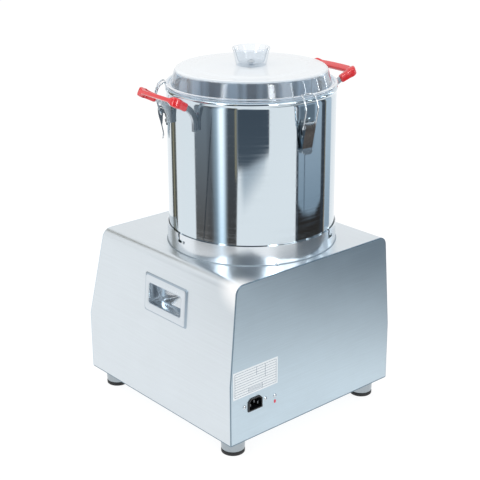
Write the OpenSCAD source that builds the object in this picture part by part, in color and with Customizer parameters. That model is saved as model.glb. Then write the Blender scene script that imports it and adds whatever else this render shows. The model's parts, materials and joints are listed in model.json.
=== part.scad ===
// Bowl cutter: sheet-steel cabinet with a motor, a twist-locked steel bowl, two
// S-shaped blades on a lift-off hub and a clear lid held by three draw latches.
// Millimetres. +Z is up, +Y is the back with the power inlet, +X is one carry side.

/* [Cabinet] */
// Width across the upright lower part of the sides
base_w = 326; // [310:1:360]
// Depth from the front to the back panel
base_d = 345; // [330:1:380]
// How far the top edge of each side sits inside its upright lower part
side_run = 13; // [6:1:20]
// How far the top front edge sits behind the lower front
front_lean = 30; // [15:1:45]
// Height of the upright lower part of the cabinet
skirt_h = 94; // [70:1:120]
// Height of the cabinet without its feet
base_h = 242; // [230:1:290]
// Thickness of the cabinet sheet
sheet_t = 1.5; // [1:0.25:2.5]
// Radius of the folded edge between side and top
fold_r = 14; // [6:1:20]
// Width of the folded lip that the bottom plate is screwed to
lip_w = 12; // [9:1:16]
// Thickness of the bottom plate
bottom_t = 2; // [1.5:0.5:4]

/* [Feet] */
// Height of a foot
foot_h = 28; // [22:1:40]
// Radius of a foot at its top
foot_r = 18.5; // [15:0.5:22]
// Distance of a foot's centre from the cabinet's sides
foot_inset = 28; // [24:1:36]
// Height of the rubber pad that shows below the foot
pad_show = 6; // [4:1:10]
// Radius of the foot bolt
foot_bolt_r = 4; // [3:0.5:5]

/* [Carry handles] */
// Length of the steel frame round the pocket
pocket_frame_l = 101; // [90:1:120]
// Height of the steel frame round the pocket
pocket_frame_h = 60; // [50:1:70]
// Length of the pocket's mouth
pocket_l = 75; // [60:1:85]
// Height of the pocket's mouth
pocket_h = 31; // [26:1:40]
// Depth of the straight part of the pocket
pocket_d = 20; // [12:1:30]
// How far the frame stands proud of the side
pocket_proud = 2.5; // [1:0.5:4]
// Height of the pocket's centre above the bend in the side
pocket_rise = 82; // [70:1:95]
// Distance of the pocket's centre behind the middle of the cabinet
pocket_y = 20; // [0:1:30]

/* [Bowl] */
// Distance of the bowl's axis behind the middle of the cabinet
axis_y = 34; // [20:1:38]
// Outer radius of the bowl
bowl_r = 124.5; // [110:0.5:128]
// Thickness of the bowl's wall
bowl_t = 1.5; // [1:0.25:2.5]
// Height of the bowl
bowl_h = 229; // [190:1:260]
// Radius of the bowl's bottom edge
bowl_edge_r = 12; // [6:1:24]
// Radius of the bead rolled round the bowl's mouth
bead_r = 3; // [2:0.25:4]
// Angle at which the bowl is locked, seen from above
bowl_lock = -3; // [-10:1:10]
// Turn that unlocks the bowl
bowl_turn = 5.2; // [4:0.2:8]
// Outer radius of the tube round the motor shaft
tube_r = 23; // [21:0.5:28]
// Height of the tube above the bowl's underside
tube_h = 110; // [90:1:130]

/* [Bowl seat] */
// Height of the collar that holds the bowl
collar_h = 29; // [24:1:40]
// Thickness of the collar
collar_t = 1.5; // [1:0.25:2.5]
// Gap between the bowl and the collar
collar_gap = 1; // [0.5:0.25:2]
// Thickness of the rubber ring under the bowl
seat_t = 5.7; // [5:0.1:9]
// Radius of a locking pin
lock_pin_r = 2; // [1.5:0.25:3]
// Height of the locking pins above the bowl's underside
lock_pin_z = 12; // [9:0.5:16]

/* [Lid] */
// Thickness of the lid
lid_t = 2.5; // [2:0.25:3.5]
// Height of the lid above its rim
lid_rise = 24; // [20:1:32]
// Lean of the lid's side
lid_lean = 13; // [5:1:20]
// Radius of the lid's shoulder
lid_shoulder_r = 7; // [5:0.5:10]
// Radius of the raised middle of the lid
lid_disc_r = 86; // [60:1:95]
// Height of the raised middle of the lid
lid_step = 1.5; // [0.5:0.5:2]
// Depth of the lid's skirt inside the bowl
skirt_depth = 8; // [5:1:14]
// Radius of the knob at its top
knob_top_r = 27.5; // [22:0.5:34]
// Radius of the knob at its foot
knob_foot_r = 22; // [18:0.5:24]
// Height of the knob
knob_h = 26; // [20:1:36]
// Thickness of the knob's wall
knob_t = 3; // [2:0.5:4]

/* [Bowl handles] */
// Half the angle between the two arms of a handle
handle_half = 14; // [9:0.5:16]
// Depth of an arm, seen from the side
arm_w = 8.5; // [6:0.5:12]
// Thickness of an arm
arm_t = 4; // [3:0.25:6]
// Distance of the handle's bar from the bowl's axis
handle_reach = 169; // [160:1:185]
// Slope of the handle's arms above level
handle_slope = 28; // [15:1:40]
// Radius of the bend in an arm
arm_bend_r = 30; // [22:1:34]
// Depth of an arm's foot below the bowl's rim
foot_drop = 44; // [40:1:60]
// Height of the straight foot below the bend
foot_rise = 9; // [5:1:20]
// Thickness of the grip over the arms
grip_t = 2.2; // [1.5:0.1:4]
// Thickness of the grip above and below the bar
grip_bar_t = 1.5; // [1:0.1:2.2]
// Radius of the grip's rounded corners
grip_corner_r = 7.2; // [6.5:0.1:8.5]
// Length of the sleeve that the grip has on each arm
sleeve_l = 25; // [15:1:30]

/* [Latches] */
// Radius of the latch wire
wire_r = 1.25; // [1:0.05:1.3]
// Half the width of the wire loop
wire_half = 10.5; // [10:0.25:12]
// Distance of the wire's bulge from the bowl's wall
wire_bulge = 15.5; // [13:0.5:20]
// Depth of the lever's pivot below the bowl's rim
pivot_drop = 33.5; // [32:0.5:44]
// Distance of the lever's pivot from the bowl's wall
pivot_out = 8; // [8:0.5:12]
// Radius of the lever's pivot pin
pivot_r = 1.5; // [1:0.25:1.5]
// Length of the lever below its pivot
lever_l = 43.5; // [38:0.5:48]
// Half the width between the bracket's ears
ear_half = 5.5; // [4:0.5:6]
// Thickness of the ears and of the lever
latch_t = 1.5; // [1:0.25:1.5]
// Distance of the wire's eye below the pivot
eye_drop = 6; // [5:0.5:8]

/* [Drive] */
// Radius of the motor shaft at its bearings
shaft_r = 10; // [8:0.5:12]
// Radius of the shaft where it carries the blade hub
shaft_top_r = 9; // [7:0.5:9.5]
// Length of the motor's frame
motor_l = 104; // [90:1:110]
// Outer radius of the motor's frame
motor_r = 64; // [58:1:70]
// Air gap between rotor and stator
air_gap = 0.5; // [0.3:0.1:1]
// Width of a bearing
bearing_w = 14; // [10:1:16]
// Outer radius of a bearing
bearing_r = 23.5; // [20:0.5:26]

/* [Blades] */
// Gap between the blade tips and the bowl's wall
tip_gap = 5; // [3:0.5:10]
// Thickness of a blade
blade_t = 2.5; // [2:0.25:4]
// Height between the two blades
blade_pitch = 33; // [24:1:45]
// Gap between the hub and the bowl's floor
hub_gap = 3; // [2:0.5:5]
// Thickness of the hub's wall
hub_t = 4; // [3:0.5:6]
// Width of the ground bevel along a cutting edge
bevel_w = 6; // [3:0.5:8]

/* [Power inlet] */
// Distance of the inlet's centre from the cabinet's side
inlet_inset = 46; // [40:1:70]
// Height of the inlet's centre above the cabinet's bottom edge
inlet_z = 54; // [40:1:70]
// Width of the inlet
inlet_w = 27; // [26:0.5:28]
// Height of the inlet
inlet_h = 20; // [19:0.5:22]
// Distance between the inlet's two screws
inlet_pitch = 40; // [38:0.5:42]
// Distance of the earth screw from the inlet's centre
earth_x = 38.5; // [32:0.5:45]

/* [Controls] */
// Radius of a push button
button_r = 11; // [8:0.5:14]
// Travel of a push button
button_travel = 3; // [2:0.5:4]
// Distance of the buttons from the middle of the front
button_x = 58; // [45:1:80]
// Radius of the speed knob
dial_r = 17; // [13:0.5:20]
// Height of the speed knob
dial_h = 15; // [12:1:18]
// Distance of the controls above the bend, along the slope
control_s = 95; // [80:1:110]

/* [Hidden] */
$fn = 64;

// Gaps between parts: a running fit, parts that pass each other, and a seated piece
fit_gap = 0.05;
pass_gap = 0.3;
seat_gap = 0.3;
// Width of the weld round the collar's foot
weld_w = 1.5;
tack_r = 3;

// Cabinet levels and the lines of its folded outline
floor_z = foot_h;
bend_z = foot_h + skirt_h;
top_z = foot_h + base_h;
side_rise = top_z - bend_z;
side_a = atan(side_run / side_rise);
front_a = atan(front_lean / side_rise);
side_line = (base_w / 2) * cos(side_a) + bend_z * sin(side_a);
fold_steps = 10;

// Bowl, collar and lid levels
seat_z = top_z + seat_t;
bowl_z = seat_z + seat_gap;
rim_z = bowl_z + bowl_h;
collar_r = bowl_r + collar_gap + collar_t;
bead_out = bowl_r - bowl_t + bead_r;
lid_z = rim_z + seat_gap;
lid_bead_r = bead_r - 0.2;
lid_wall_r = bead_out - 8;
lid_top_z = lid_z + lid_t + lid_rise;
skirt_r = bowl_r - bowl_t - 1.2;
knob_z = lid_top_z + lid_step;

// Motor levels, hung from the plate under the cabinet's top
plate_t = 6;
plate_r = 105;
plate_z = top_z - sheet_t - plate_t;
bell_h = 22;
bell_flange_r = motor_r + 12;
bell_flange_t = 8;
frame_top_z = plate_z - bell_h;
frame_low_z = frame_top_z - motor_l;
boss_r = shaft_r + 7.5;
boss_top_z = bowl_z + bowl_t + 12;
seal_h = 6;
stator_r = motor_r - 4;
rotor_r = 36;
core_l = motor_l - 34;
core_z = frame_low_z + (motor_l - core_l) / 2;
fan_h = 14;
fan_z = frame_low_z - bell_h - fan_h;
fan_r = 50;
bearing_up_z = plate_z - bearing_w - 3;
bearing_low_z = frame_low_z - bearing_w - 3;
bolt_pitch_r = boss_r + 30;
rod_pitch_r = motor_r + 6;
rod_r = 2.5;
bolt_r = 4;

// Blade hub levels
tube_top_z = bowl_z + tube_h;
hub_in_r = tube_r + 1.5;
hub_r = hub_in_r + hub_t;
hub_z = bowl_z + bowl_t + hub_gap;
hub_top_z = tube_top_z + 2;
hub_cap_t = 8;
ledge_r = hub_r + 6;
ledge_t = 4;
blade_z = hub_z + ledge_t;
blade_up_z = blade_z + blade_pitch;
blade_r = bowl_r - bowl_t - tip_gap;
nut_t = 9;
// Centres of the two circles that bound a blade's arm, as shares of the blade's radius
outer_arc = [0.5, -0.32];
inner_arc = [0.54, -0.78];
shaft_end_z = hub_top_z + hub_cap_t + 14;

// Latch pivot, wire eye and the bead that the wire hooks over
pivot = [bowl_r + pivot_out, rim_z - pivot_drop];
eye = pivot + [-0.3, -eye_drop];
hook_bead = [bead_out - lid_bead_r, lid_z + lid_bead_r];
ear_r = pivot_r + 1.1;
face_r = ear_r + pass_gap + latch_t / 2;
cheek_in = ear_half + latch_t + pass_gap;
cheek_out = cheek_in + latch_t;
bracket_half = cheek_in + 1;
bracket_low = pivot[1] - 22;
bracket_high = pivot[1] + 6;
tab_corner_r = 6;
latch_angles = [88, 208, 328];

// Capacitor and control board on the bottom plate
can_r = 20;
can_l = 72;
board_l = 110;
board_w = 80;
board_t = 1.6;
board_z = 10;

// Controls stand on the leaning upper front
bezel_r = button_r + 3;
barrel_r = button_r + 1.5;

// Rest of the frame: the object's box is centred on the origin
back_reach = max(base_d / 2 + 1.8, axis_y + bowl_r + wire_bulge + 0.9);
frame_y = (base_d / 2 - back_reach) / 2;
inlet_x = base_w / 2 - inlet_inset;
earth_z = inlet_z - 2;

// Outline of the cabinet seen from the front, drawn a given distance inside its skin
function fold_centre_x() = (side_line - fold_r - (top_z - fold_r) * sin(side_a)) / cos(side_a);
function knee_z(inset) =
    (side_line - inset - (base_w / 2 - inset) * cos(side_a)) / sin(side_a);
function fold_arc(inset) = [
    for (i = [0 : fold_steps])
        let (a = side_a + (90 - side_a) * i / fold_steps)
        [fold_centre_x() + (fold_r - inset) * cos(a), top_z - fold_r + (fold_r - inset) * sin(a)]
];
function half_outline(inset, low) =
    concat([[base_w / 2 - inset, low], [base_w / 2 - inset, knee_z(inset)]], fold_arc(inset));
function mirrored(pts) = concat(pts, [for (i = [len(pts) - 1 : -1 : 0]) [-pts[i][0], pts[i][1]]]);
function cabinet_outline(inset, low) = mirrored(half_outline(inset, low));

// Front surface seen from the side, a given distance inside the skin
function front_y(z, inset) =
    max(-base_d / 2 + inset, -base_d / 2 + inset / cos(front_a) + (z - bend_z) * tan(front_a));
function front_knee_z(inset) = bend_z + (inset - inset / cos(front_a)) / tan(front_a);
function side_view(inset, low, high) = [
    [base_d / 2 - inset, low], [base_d / 2 - inset, high], [front_y(high, inset), high],
    [-base_d / 2 + inset, front_knee_z(inset)], [-base_d / 2 + inset, low]
];

// Corner cutting turns a few corner points into a smooth path
function smooth_once(p) = concat(
    [p[0]],
    [for (i = [0 : len(p) - 2]) each [p[i] * 0.75 + p[i + 1] * 0.25, p[i] * 0.25 + p[i + 1] * 0.75]],
    [p[len(p) - 1]]
);
function smoothed(p, n) = n == 0 ? p : smoothed(smooth_once(p), n - 1);
function unit(v) = v / norm(v);
function tangents(p) = [
    for (i = [0 : len(p) - 1]) unit(p[min(i + 1, len(p) - 1)] - p[max(i - 1, 0)])
];
// Carries a side vector along the path without letting it spin
function carried(t) = [
    for (i = 0, n = unit(cross(t[0], [0.3, 0.5, 0.8])); i < len(t);
         i = i + 1, n = i < len(t) ? unit(n - (n * t[i]) * t[i]) : n) n
];

// Round wire along a path
module wire(path, r, sides = 10) {
    t = tangents(path);
    n = carried(t);
    rings = [
        for (i = [0 : len(path) - 1])
            let (b = cross(t[i], n[i]))
            for (k = [0 : sides - 1])
                path[i] + r * (cos(360 * k / sides) * n[i] + sin(360 * k / sides) * b)
    ];
    walls = [
        for (i = [0 : len(path) - 2])
            for (k = [0 : sides - 1])
                let (j = (k + 1) % sides)
                [i * sides + k, (i + 1) * sides + k, (i + 1) * sides + j, i * sides + j]
    ];
    last = (len(path) - 1) * sides;
    ends = [[for (k = [0 : sides - 1]) k], [for (k = [sides - 1 : -1 : 0]) last + k]];
    polyhedron(rings, concat(walls, ends), convexity = 6);
}

module placed() {
    translate([0, frame_y, 0]) children();
}
module at_axis(a = 0) {
    placed() translate([0, axis_y, 0]) rotate(a) children();
}
// Extrudes an outline drawn as (across, height) from front y0 to back y1
module front_to_back(y0, y1) {
    translate([0, y1, 0]) rotate([90, 0, 0]) linear_extrude(y1 - y0) children();
}
// Extrudes an outline drawn as (depth, height) from x0 to x1
module side_to_side(x0, x1) {
    translate([x0, 0, 0]) rotate([90, 0, 90]) linear_extrude(x1 - x0) children();
}
// Extrudes an outline drawn as (radius, height) from y0 to y1
module radial_slab(y0, y1) {
    front_to_back(y0, y1) children();
}
module rounded_rect(w, h, r) {
    square([w - 2 * r, h], center = true);
    square([w, h - 2 * r], center = true);
    for (x = [-1, 1], y = [-1, 1]) translate([x * (w / 2 - r), y * (h / 2 - r)]) circle(r);
}
module ring(r_out, r_in, h) {
    difference() {
        cylinder(r = r_out, h = h);
        translate([0, 0, -1]) cylinder(r = r_in, h = h + 2);
    }
}
// Pan head on a short shank, pointing down into its hole
module pan_screw(head_r, head_h, shank_r, shank_l) {
    rotate_extrude() difference() {
        intersection() {
            translate([0, head_h - head_r * 1.25]) circle(head_r * 1.25);
            square([head_r, head_h]);
        }
        square([head_r * 0.28, head_h * 2]);
    }
    cylinder(r = head_r * 0.28, h = head_h * 0.55);
    translate([0, 0, -shank_l]) cylinder(r = shank_r, h = shank_l);
}
// Frame on the leaning side: z out of the skin, x down the slope
module on_side(side, y, rise) {
    mirror([side > 0 ? 0 : 1, 0, 0])
        translate([(side_line - (bend_z + rise) * sin(side_a)) / cos(side_a), y, bend_z + rise])
            rotate([0, 90 - side_a, 0]) children();
}
// Frame on the leaning front: z out of the skin, y up the slope
module on_front(x, s) {
    placed() translate([x, -base_d / 2 + s * sin(front_a), bend_z + s * cos(front_a)])
        rotate([90 - front_a, 0, 0]) children();
}
module on_back(x, z) {
    placed() translate([x, base_d / 2, z]) rotate([-90, 0, 0]) children();
}
module at_feet() {
    for (x = [-1, 1], y = [-1, 1])
        placed() translate([x * (base_w / 2 - foot_inset), y * (base_d / 2 - foot_inset), 0]) children();
}
module at_lip_screws() {
    for (x = [-1, 1], y = [-0.3, 0, 0.3])
        placed() translate([x * (base_w / 2 - sheet_t - lip_w / 2), y * base_d, floor_z]) children();
}
module at_motor_bolts() {
    for (k = [0 : 3]) at_axis(45 + 90 * k) translate([bolt_pitch_r, 0, 0]) children();
}
module at_rods() {
    for (k = [0 : 3]) at_axis(90 * k) translate([rod_pitch_r, 0, 0]) children();
}

// Cabinet
module pocket_hollow(r, depth) {
    translate([0, pocket_l / 2, 0]) rotate([90, 0, 0]) linear_extrude(pocket_l) {
        translate([-r, -depth]) square([2 * r, depth + 10]);
        translate([0, -depth]) circle(r);
    }
}
module pocket_body(wall, above = 0) {
    translate([0, pocket_l / 2 + wall, 0]) rotate([90, 0, 0]) linear_extrude(pocket_l + 2 * wall) {
        translate([-pocket_h / 2 - wall, -pocket_d]) square([pocket_h + 2 * wall, pocket_d + above]);
        translate([0, -pocket_d]) circle(pocket_h / 2 + wall);
    }
}
module housing_shell() color("silver") placed() {
    difference() {
        intersection() {
            front_to_back(-base_d / 2, base_d / 2) polygon(cabinet_outline(0, floor_z));
            side_to_side(-base_w, base_w) polygon(side_view(sheet_t, floor_z, top_z + 1));
        }
        front_to_back(-base_d, base_d) polygon(cabinet_outline(sheet_t, floor_z - 1));
        translate([0, axis_y, 0]) {
            cylinder(r = boss_r + pass_gap, h = top_z * 2);
            for (k = [0 : 3])
                rotate(45 + 90 * k) translate([bolt_pitch_r, 0, top_z - 5]) cylinder(r = bolt_r, h = 10);
        }
        for (s = [-1, 1]) on_side(s, pocket_y, pocket_rise) pocket_body(sheet_t, 5);
    }
    difference() {
        for (x = [-1, 1])
            translate([x > 0 ? base_w / 2 - sheet_t - lip_w : -base_w / 2 + sheet_t / 2,
                       -base_d / 2 + sheet_t, floor_z + bottom_t])
                cube([lip_w + sheet_t / 2, base_d - 2 * sheet_t, sheet_t]);
        for (x = [-1, 1], y = [-0.3, 0, 0.3])
            translate([x * (base_w / 2 - sheet_t - lip_w / 2), y * base_d, floor_z])
                cylinder(r = 2, h = 10);
    }
}
module front_panel() color("silver") difference() {
    placed() intersection() {
        front_to_back(-base_d / 2, 0) polygon(cabinet_outline(0, floor_z));
        side_to_side(-base_w, base_w) difference() {
            polygon(side_view(0, floor_z, top_z));
            polygon(side_view(sheet_t, floor_z - 1, top_z + 1));
        }
    }
    for (x = [-1, 1]) on_front(x * button_x, control_s) translate([0, 0, -5])
        cylinder(r = barrel_r, h = 10);
    on_front(0, control_s) translate([0, 0, -5]) cylinder(r = 4.5, h = 10);
}
module back_panel() color("silver") difference() {
    placed() front_to_back(base_d / 2 - sheet_t, base_d / 2) polygon(cabinet_outline(0, floor_z));
    on_back(inlet_x, floor_z + inlet_z) translate([0, 0, -5]) {
        linear_extrude(10) inlet_outline(0);
        for (x = [-1, 1]) translate([x * inlet_pitch / 2, 0, 0]) cylinder(r = 1.8, h = 10);
    }
    on_back(inlet_x - earth_x, floor_z + earth_z) translate([0, 0, -5]) cylinder(r = 2, h = 10);
}
module bottom_plate() color("gainsboro") difference() {
    placed() translate([0, 0, floor_z]) linear_extrude(bottom_t)
        square([base_w - 2 * sheet_t, base_d - 2 * sheet_t], center = true);
    at_feet() cylinder(r = foot_bolt_r, h = top_z);
    at_lip_screws() translate([0, 0, -5]) cylinder(r = 2, h = 20);
    for (i = [-4 : 4], side = [-1, 1])
        at_axis() translate([i * 12, side * 24, floor_z - 1]) linear_extrude(bottom_t + 2) {
            square([5, 30], center = true);
            for (e = [-1, 1]) translate([0, e * 15]) circle(2.5);
        }
}
module bottom_screws() color("dimgray")
    at_lip_screws() rotate([180, 0, 0]) pan_screw(4, 2.2, 2, bottom_t + sheet_t + 3);
module foot_cups() color("silver") at_feet() rotate_extrude() difference() {
    polygon([[0, pad_show], [foot_r - 1, pad_show], [foot_r, foot_h - 3], [foot_r, foot_h], [0, foot_h]]);
    translate([-1, 0]) square([foot_bolt_r + 1, top_z]);
    translate([-1, 0]) square([foot_r - 3, pad_show + 6]);
}
module foot_pads() color("black") at_feet() rotate_extrude() {
    polygon([[0, 0], [foot_r - 2, 0], [foot_r - 1, 1], [foot_r - 1, pad_show], [0, pad_show]]);
    square([foot_r - 4, pad_show + 5.9]);
}
module foot_bolts() color("gray") at_feet() {
    translate([0, 0, pad_show + 6]) cylinder(r = foot_bolt_r, h = foot_h - pad_show + 6);
    translate([0, 0, floor_z + bottom_t]) cylinder(r = foot_bolt_r + 2.5, h = 5, $fn = 6);
}
module carry_handle(side) color("silver") placed() on_side(side, pocket_y, pocket_rise) difference() {
    union() {
        linear_extrude(pocket_proud) rounded_rect(pocket_frame_h, pocket_frame_l, 3);
        pocket_body(sheet_t);
    }
    pocket_hollow(pocket_h / 2, pocket_d);
}
module carry_handle_left() carry_handle(-1);
module carry_handle_right() carry_handle(1);

// Seat of the bowl
module bowl_collar() color("gainsboro") at_axis() difference() {
    union() {
        rotate_extrude() {
            translate([collar_r - collar_t, top_z]) square([collar_t, collar_h]);
            translate([collar_r, top_z]) polygon([[0, 0], [weld_w, 0], [0, weld_w]]);
        }
        for (a = [65, 185, 305]) rotate(a) translate([collar_r + 1, 0, top_z]) intersection() {
            sphere(tack_r);
            translate([0, 0, tack_r]) cube(2 * tack_r, center = true);
        }
    }
    for (k = [0 : 2]) {
        slot_w = 2 * (lock_pin_r + pass_gap);
        rotate(bowl_lock - bowl_turn + 120 * k)
            translate([collar_r - 5, -slot_w / 2, bowl_z + lock_pin_z - slot_w / 2])
                cube([10, slot_w, collar_h * 2]);
        rotate(bowl_lock - bowl_turn / 2 + 120 * k)
            translate([collar_r, 0, bowl_z + lock_pin_z])
                cube([10, 2 * collar_r * sin(bowl_turn / 2) + slot_w, slot_w], center = true);
    }
}
module bowl_seat() color("dimgray") at_axis() translate([0, 0, top_z]) difference() {
    ring(bowl_r - bowl_edge_r, bowl_r - bowl_edge_r - 12, seat_t);
    for (k = [0 : 5]) rotate(60 * k) translate([bowl_r - bowl_edge_r - 6, 0, seat_t])
        rotate([0, 90, 0]) cylinder(r = 1.5, h = 40, center = true);
}

// Motor
module motor_plate() color("gray") difference() {
    at_axis() translate([0, 0, plate_z]) ring(plate_r, boss_r + pass_gap, plate_t);
    at_motor_bolts() cylinder(r = bolt_r, h = top_z * 2);
}
module motor_bolts() color("dimgray") at_motor_bolts() {
    translate([0, 0, top_z]) cylinder(r = bolt_r + 3, h = 3, $fn = 6);
    translate([0, 0, plate_z - 12]) cylinder(r = bolt_r, h = top_z - plate_z + 12);
}
module motor_bell_upper() color("slategray") difference() {
    at_axis() rotate_extrude() difference() {
        polygon([
            [shaft_r + 1, frame_top_z], [bell_flange_r, frame_top_z],
            [bell_flange_r, frame_top_z + bell_flange_t], [rod_pitch_r - 5, frame_top_z + bell_flange_t],
            [bolt_pitch_r + 12, plate_z - 2],
            [bolt_pitch_r + 10, plate_z], [boss_r, plate_z], [boss_r, boss_top_z], [shaft_r + 1, boss_top_z]
        ]);
        translate([0, bearing_up_z]) square([bearing_r, bearing_w]);
        translate([bearing_r - 1, frame_top_z - 1]) square([12, bell_h - 8]);
        translate([0, frame_top_z - 1]) square([bearing_r - 3, 8]);
        translate([0, boss_top_z - seal_h]) square([boss_r - 2.5, seal_h + 1]);
    }
    at_motor_bolts() translate([0, 0, plate_z - 12]) cylinder(r = bolt_r, h = 20);
    at_rods() cylinder(r = rod_r, h = top_z);
}
module motor_bell_lower() color("slategray") difference() {
    at_axis() rotate_extrude() difference() {
        polygon([
            [shaft_r + 1, frame_low_z], [bell_flange_r, frame_low_z],
            [bell_flange_r, frame_low_z - bell_flange_t], [rod_pitch_r - 5, frame_low_z - bell_flange_t],
            [bearing_r + 8, frame_low_z - bell_h],
            [shaft_r + 1, frame_low_z - bell_h]
        ]);
        translate([0, bearing_low_z]) square([bearing_r, bearing_w]);
        translate([bearing_r + 5, frame_low_z - 10]) square([12, 11]);
        translate([0, frame_low_z - 4]) square([bearing_r - 3, 6]);
    }
    at_rods() cylinder(r = rod_r, h = top_z);
}
module motor_frame() color("steelblue") at_axis() translate([0, 0, frame_low_z]) {
    ring(motor_r, stator_r, motor_l);
    for (k = [0 : 23]) rotate(7.5 + 15 * k) translate([motor_r - 1, -1, 10])
        cube([k % 6 == 5 ? 3 : 6, 2, motor_l - 20]);
}
module motor_tie_rods() color("dimgray") at_rods() {
    translate([0, 0, frame_low_z - bell_flange_t])
        cylinder(r = rod_r, h = motor_l + 2 * bell_flange_t);
    for (z = [frame_low_z - bell_flange_t - 3, frame_top_z + bell_flange_t])
        translate([0, 0, z]) cylinder(r = rod_r + 1.8, h = 3, $fn = 6);
}
module stator_core() color("darkgray") at_axis() translate([0, 0, core_z]) difference() {
    cylinder(r = stator_r, h = core_l);
    translate([0, 0, -1]) cylinder(r = rotor_r + air_gap, h = core_l + 2);
    for (k = [0 : 17]) rotate(20 * k) translate([rotor_r + 4, -2.5, -1]) cube([12, 5, core_l + 2]);
}
module stator_windings() color("chocolate") at_axis()
    for (z = [core_z - 10, core_z + core_l]) translate([0, 0, z]) rotate_extrude()
        translate([rotor_r + 10, 5]) {
            square([8, 10], center = true);
            square([12, 6], center = true);
            for (x = [-4, 4], y = [-3, 3]) translate([x, y]) circle(2);
        }
module bearing(z) color("silver") at_axis() translate([0, 0, z]) difference() {
    cylinder(r = bearing_r, h = bearing_w);
    translate([0, 0, -1]) cylinder(r = shaft_r + fit_gap, h = bearing_w + 2);
    for (h = [-1, bearing_w - 1]) translate([0, 0, h]) ring(bearing_r - 3.5, shaft_r + 3.5, 2);
}
module bearing_upper() bearing(bearing_up_z);
module bearing_lower() bearing(bearing_low_z);
module shaft_seal() color("black") at_axis() translate([0, 0, boss_top_z - seal_h])
    ring(boss_r - 2.5, shaft_r + fit_gap, seal_h);

// Electrics
module capacitor() color("lightgray") placed()
    translate([base_w / 2 - 2.8 * can_r, -can_r, floor_z + bottom_t + can_r + 2]) rotate([90, 0, 0]) {
        cylinder(r = can_r, h = can_l);
        translate([0, 0, can_l]) cylinder(r = can_r - 3, h = 4);
        for (x = [-6, 4]) translate([x, -2, can_l + 4]) cube([3, 6, 8]);
        difference() {
            translate([-can_r - 4, -can_r - 2, can_l * 0.4]) cube([2 * can_r + 8, can_r + 8, 16]);
            cylinder(r = can_r, h = can_l);
        }
    }
module control_board() color("darkgreen")
    placed() translate([-board_l, -board_w * 1.88, floor_z + bottom_t]) {
        for (x = [6, board_l - 6], y = [6, board_w - 6]) translate([x, y, 0]) cylinder(r = 3, h = board_z);
        translate([0, 0, board_z]) cube([board_l, board_w, board_t]);
        translate([0, 0, board_z + board_t]) {
            for (x = [14, 40, 66]) translate([x, 10, 0]) cube([20, 16, 15]);
            for (x = [22, 46]) translate([x, board_w - 28, 0]) cylinder(r = 8, h = 24);
            translate([68, 38, 0]) cube([32, 38, 3]);
            for (i = [0 : 5]) translate([70 + 5 * i, 40, 0]) cube([2, 34, 22]);
        }
    }
module inlet_outline(inset) {
    w = inlet_w / 2 - inset;
    h = inlet_h / 2 - inset;
    c = 5 - inset / 2;
    polygon([[-w, -h + c], [-w + c, -h], [w - c, -h], [w, -h + c], [w, h], [-w, h]]);
}
module inlet_body() color("black") on_back(inlet_x, floor_z + inlet_z) difference() {
    union() {
        translate([0, 0, -20]) linear_extrude(21.5) inlet_outline(0);
        translate([0, 0, -sheet_t - 3]) linear_extrude(3) rounded_rect(inlet_pitch + 10, inlet_h + 2, 4);
    }
    translate([0, 0, -15]) linear_extrude(20) inlet_outline(2);
    for (x = [-1, 1]) translate([x * inlet_pitch / 2, 0, -8]) cylinder(r = 1.5, h = 10);
    for (p = [[-7, 2], [0, -2], [7, 2]]) translate([p[0], p[1], -18]) cube([2, 4, 10], center = true);
}
module inlet_pins() color("silver") on_back(inlet_x, floor_z + inlet_z)
    for (p = [[-7, 2], [0, -2], [7, 2]]) translate([p[0], p[1], -12.5]) cube([2, 4, 21], center = true);
module back_screws() color("silver") {
    on_back(inlet_x, floor_z + inlet_z)
        for (x = [-1, 1]) translate([x * inlet_pitch / 2, 0, 0]) pan_screw(3, 1.8, 1.5, 7);
    on_back(inlet_x - earth_x, floor_z + earth_z) pan_screw(3, 1.8, 2, 6);
}
module button_bezels() color("silver") for (x = [-1, 1]) on_front(x * button_x, control_s) {
    difference() {
        union() {
            cylinder(r1 = bezel_r, r2 = bezel_r - 1.2, h = 3.5);
            translate([0, 0, -14]) cylinder(r = barrel_r, h = 15);
            translate([0, 0, -sheet_t - 4]) cylinder(r = bezel_r + 1, h = 4, $fn = 6);
        }
        translate([0, 0, -15]) cylinder(r = button_r, h = 30);
    }
}
module switch_blocks() color("dimgray") for (x = [-1, 1]) on_front(x * button_x, control_s)
    translate([0, 0, -44]) difference() {
        linear_extrude(30) rounded_rect(28, 28, 2);
        translate([0, 0, 30 - button_travel - 1]) cylinder(r = 3.5, h = button_travel + 5);
    }
module speed_control() color("gray") on_front(0, control_s) difference() {
    union() {
        translate([0, 0, -sheet_t - 10]) cylinder(r = 12, h = 10);
        translate([0, 0, -sheet_t - 1]) cylinder(r = 4.5, h = sheet_t + 5);
        cylinder(r = 7, h = 2, $fn = 6);
    }
    translate([0, 0, -sheet_t - 8]) cylinder(r = 3 + fit_gap, h = 30);
}
module button_cap(x, paint) color(paint) on_front(x, control_s) rotate_extrude() {
    polygon([
        [0, -14 + 0.3], [3, -14 + 0.3], [3, -6], [button_r - pass_gap, -6], [button_r - pass_gap, 5.5],
        [button_r - 1.5, 6.8], [0, 7.4]
    ]);
}
module start_button() button_cap(-button_x, "green");
module stop_button() button_cap(button_x, "red");
module speed_knob() color("black") on_front(0, control_s) difference() {
    union() {
        difference() {
            translate([0, 0, 0.5]) cylinder(r1 = dial_r, r2 = dial_r - 2, h = dial_h);
            translate([0, 0, -1]) cylinder(r = 9, h = 6.5);
            for (k = [0 : 11]) rotate(30 * k) translate([dial_r + 0.6, 0, 3]) cylinder(r = 2, h = dial_h);
        }
        translate([0, 0, -sheet_t - 8 + seat_gap]) cylinder(r = 3, h = sheet_t + 8 + 6);
    }
    translate([-0.8, 3, dial_h - 0.5]) cube([1.6, dial_r, 3]);
}

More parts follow.
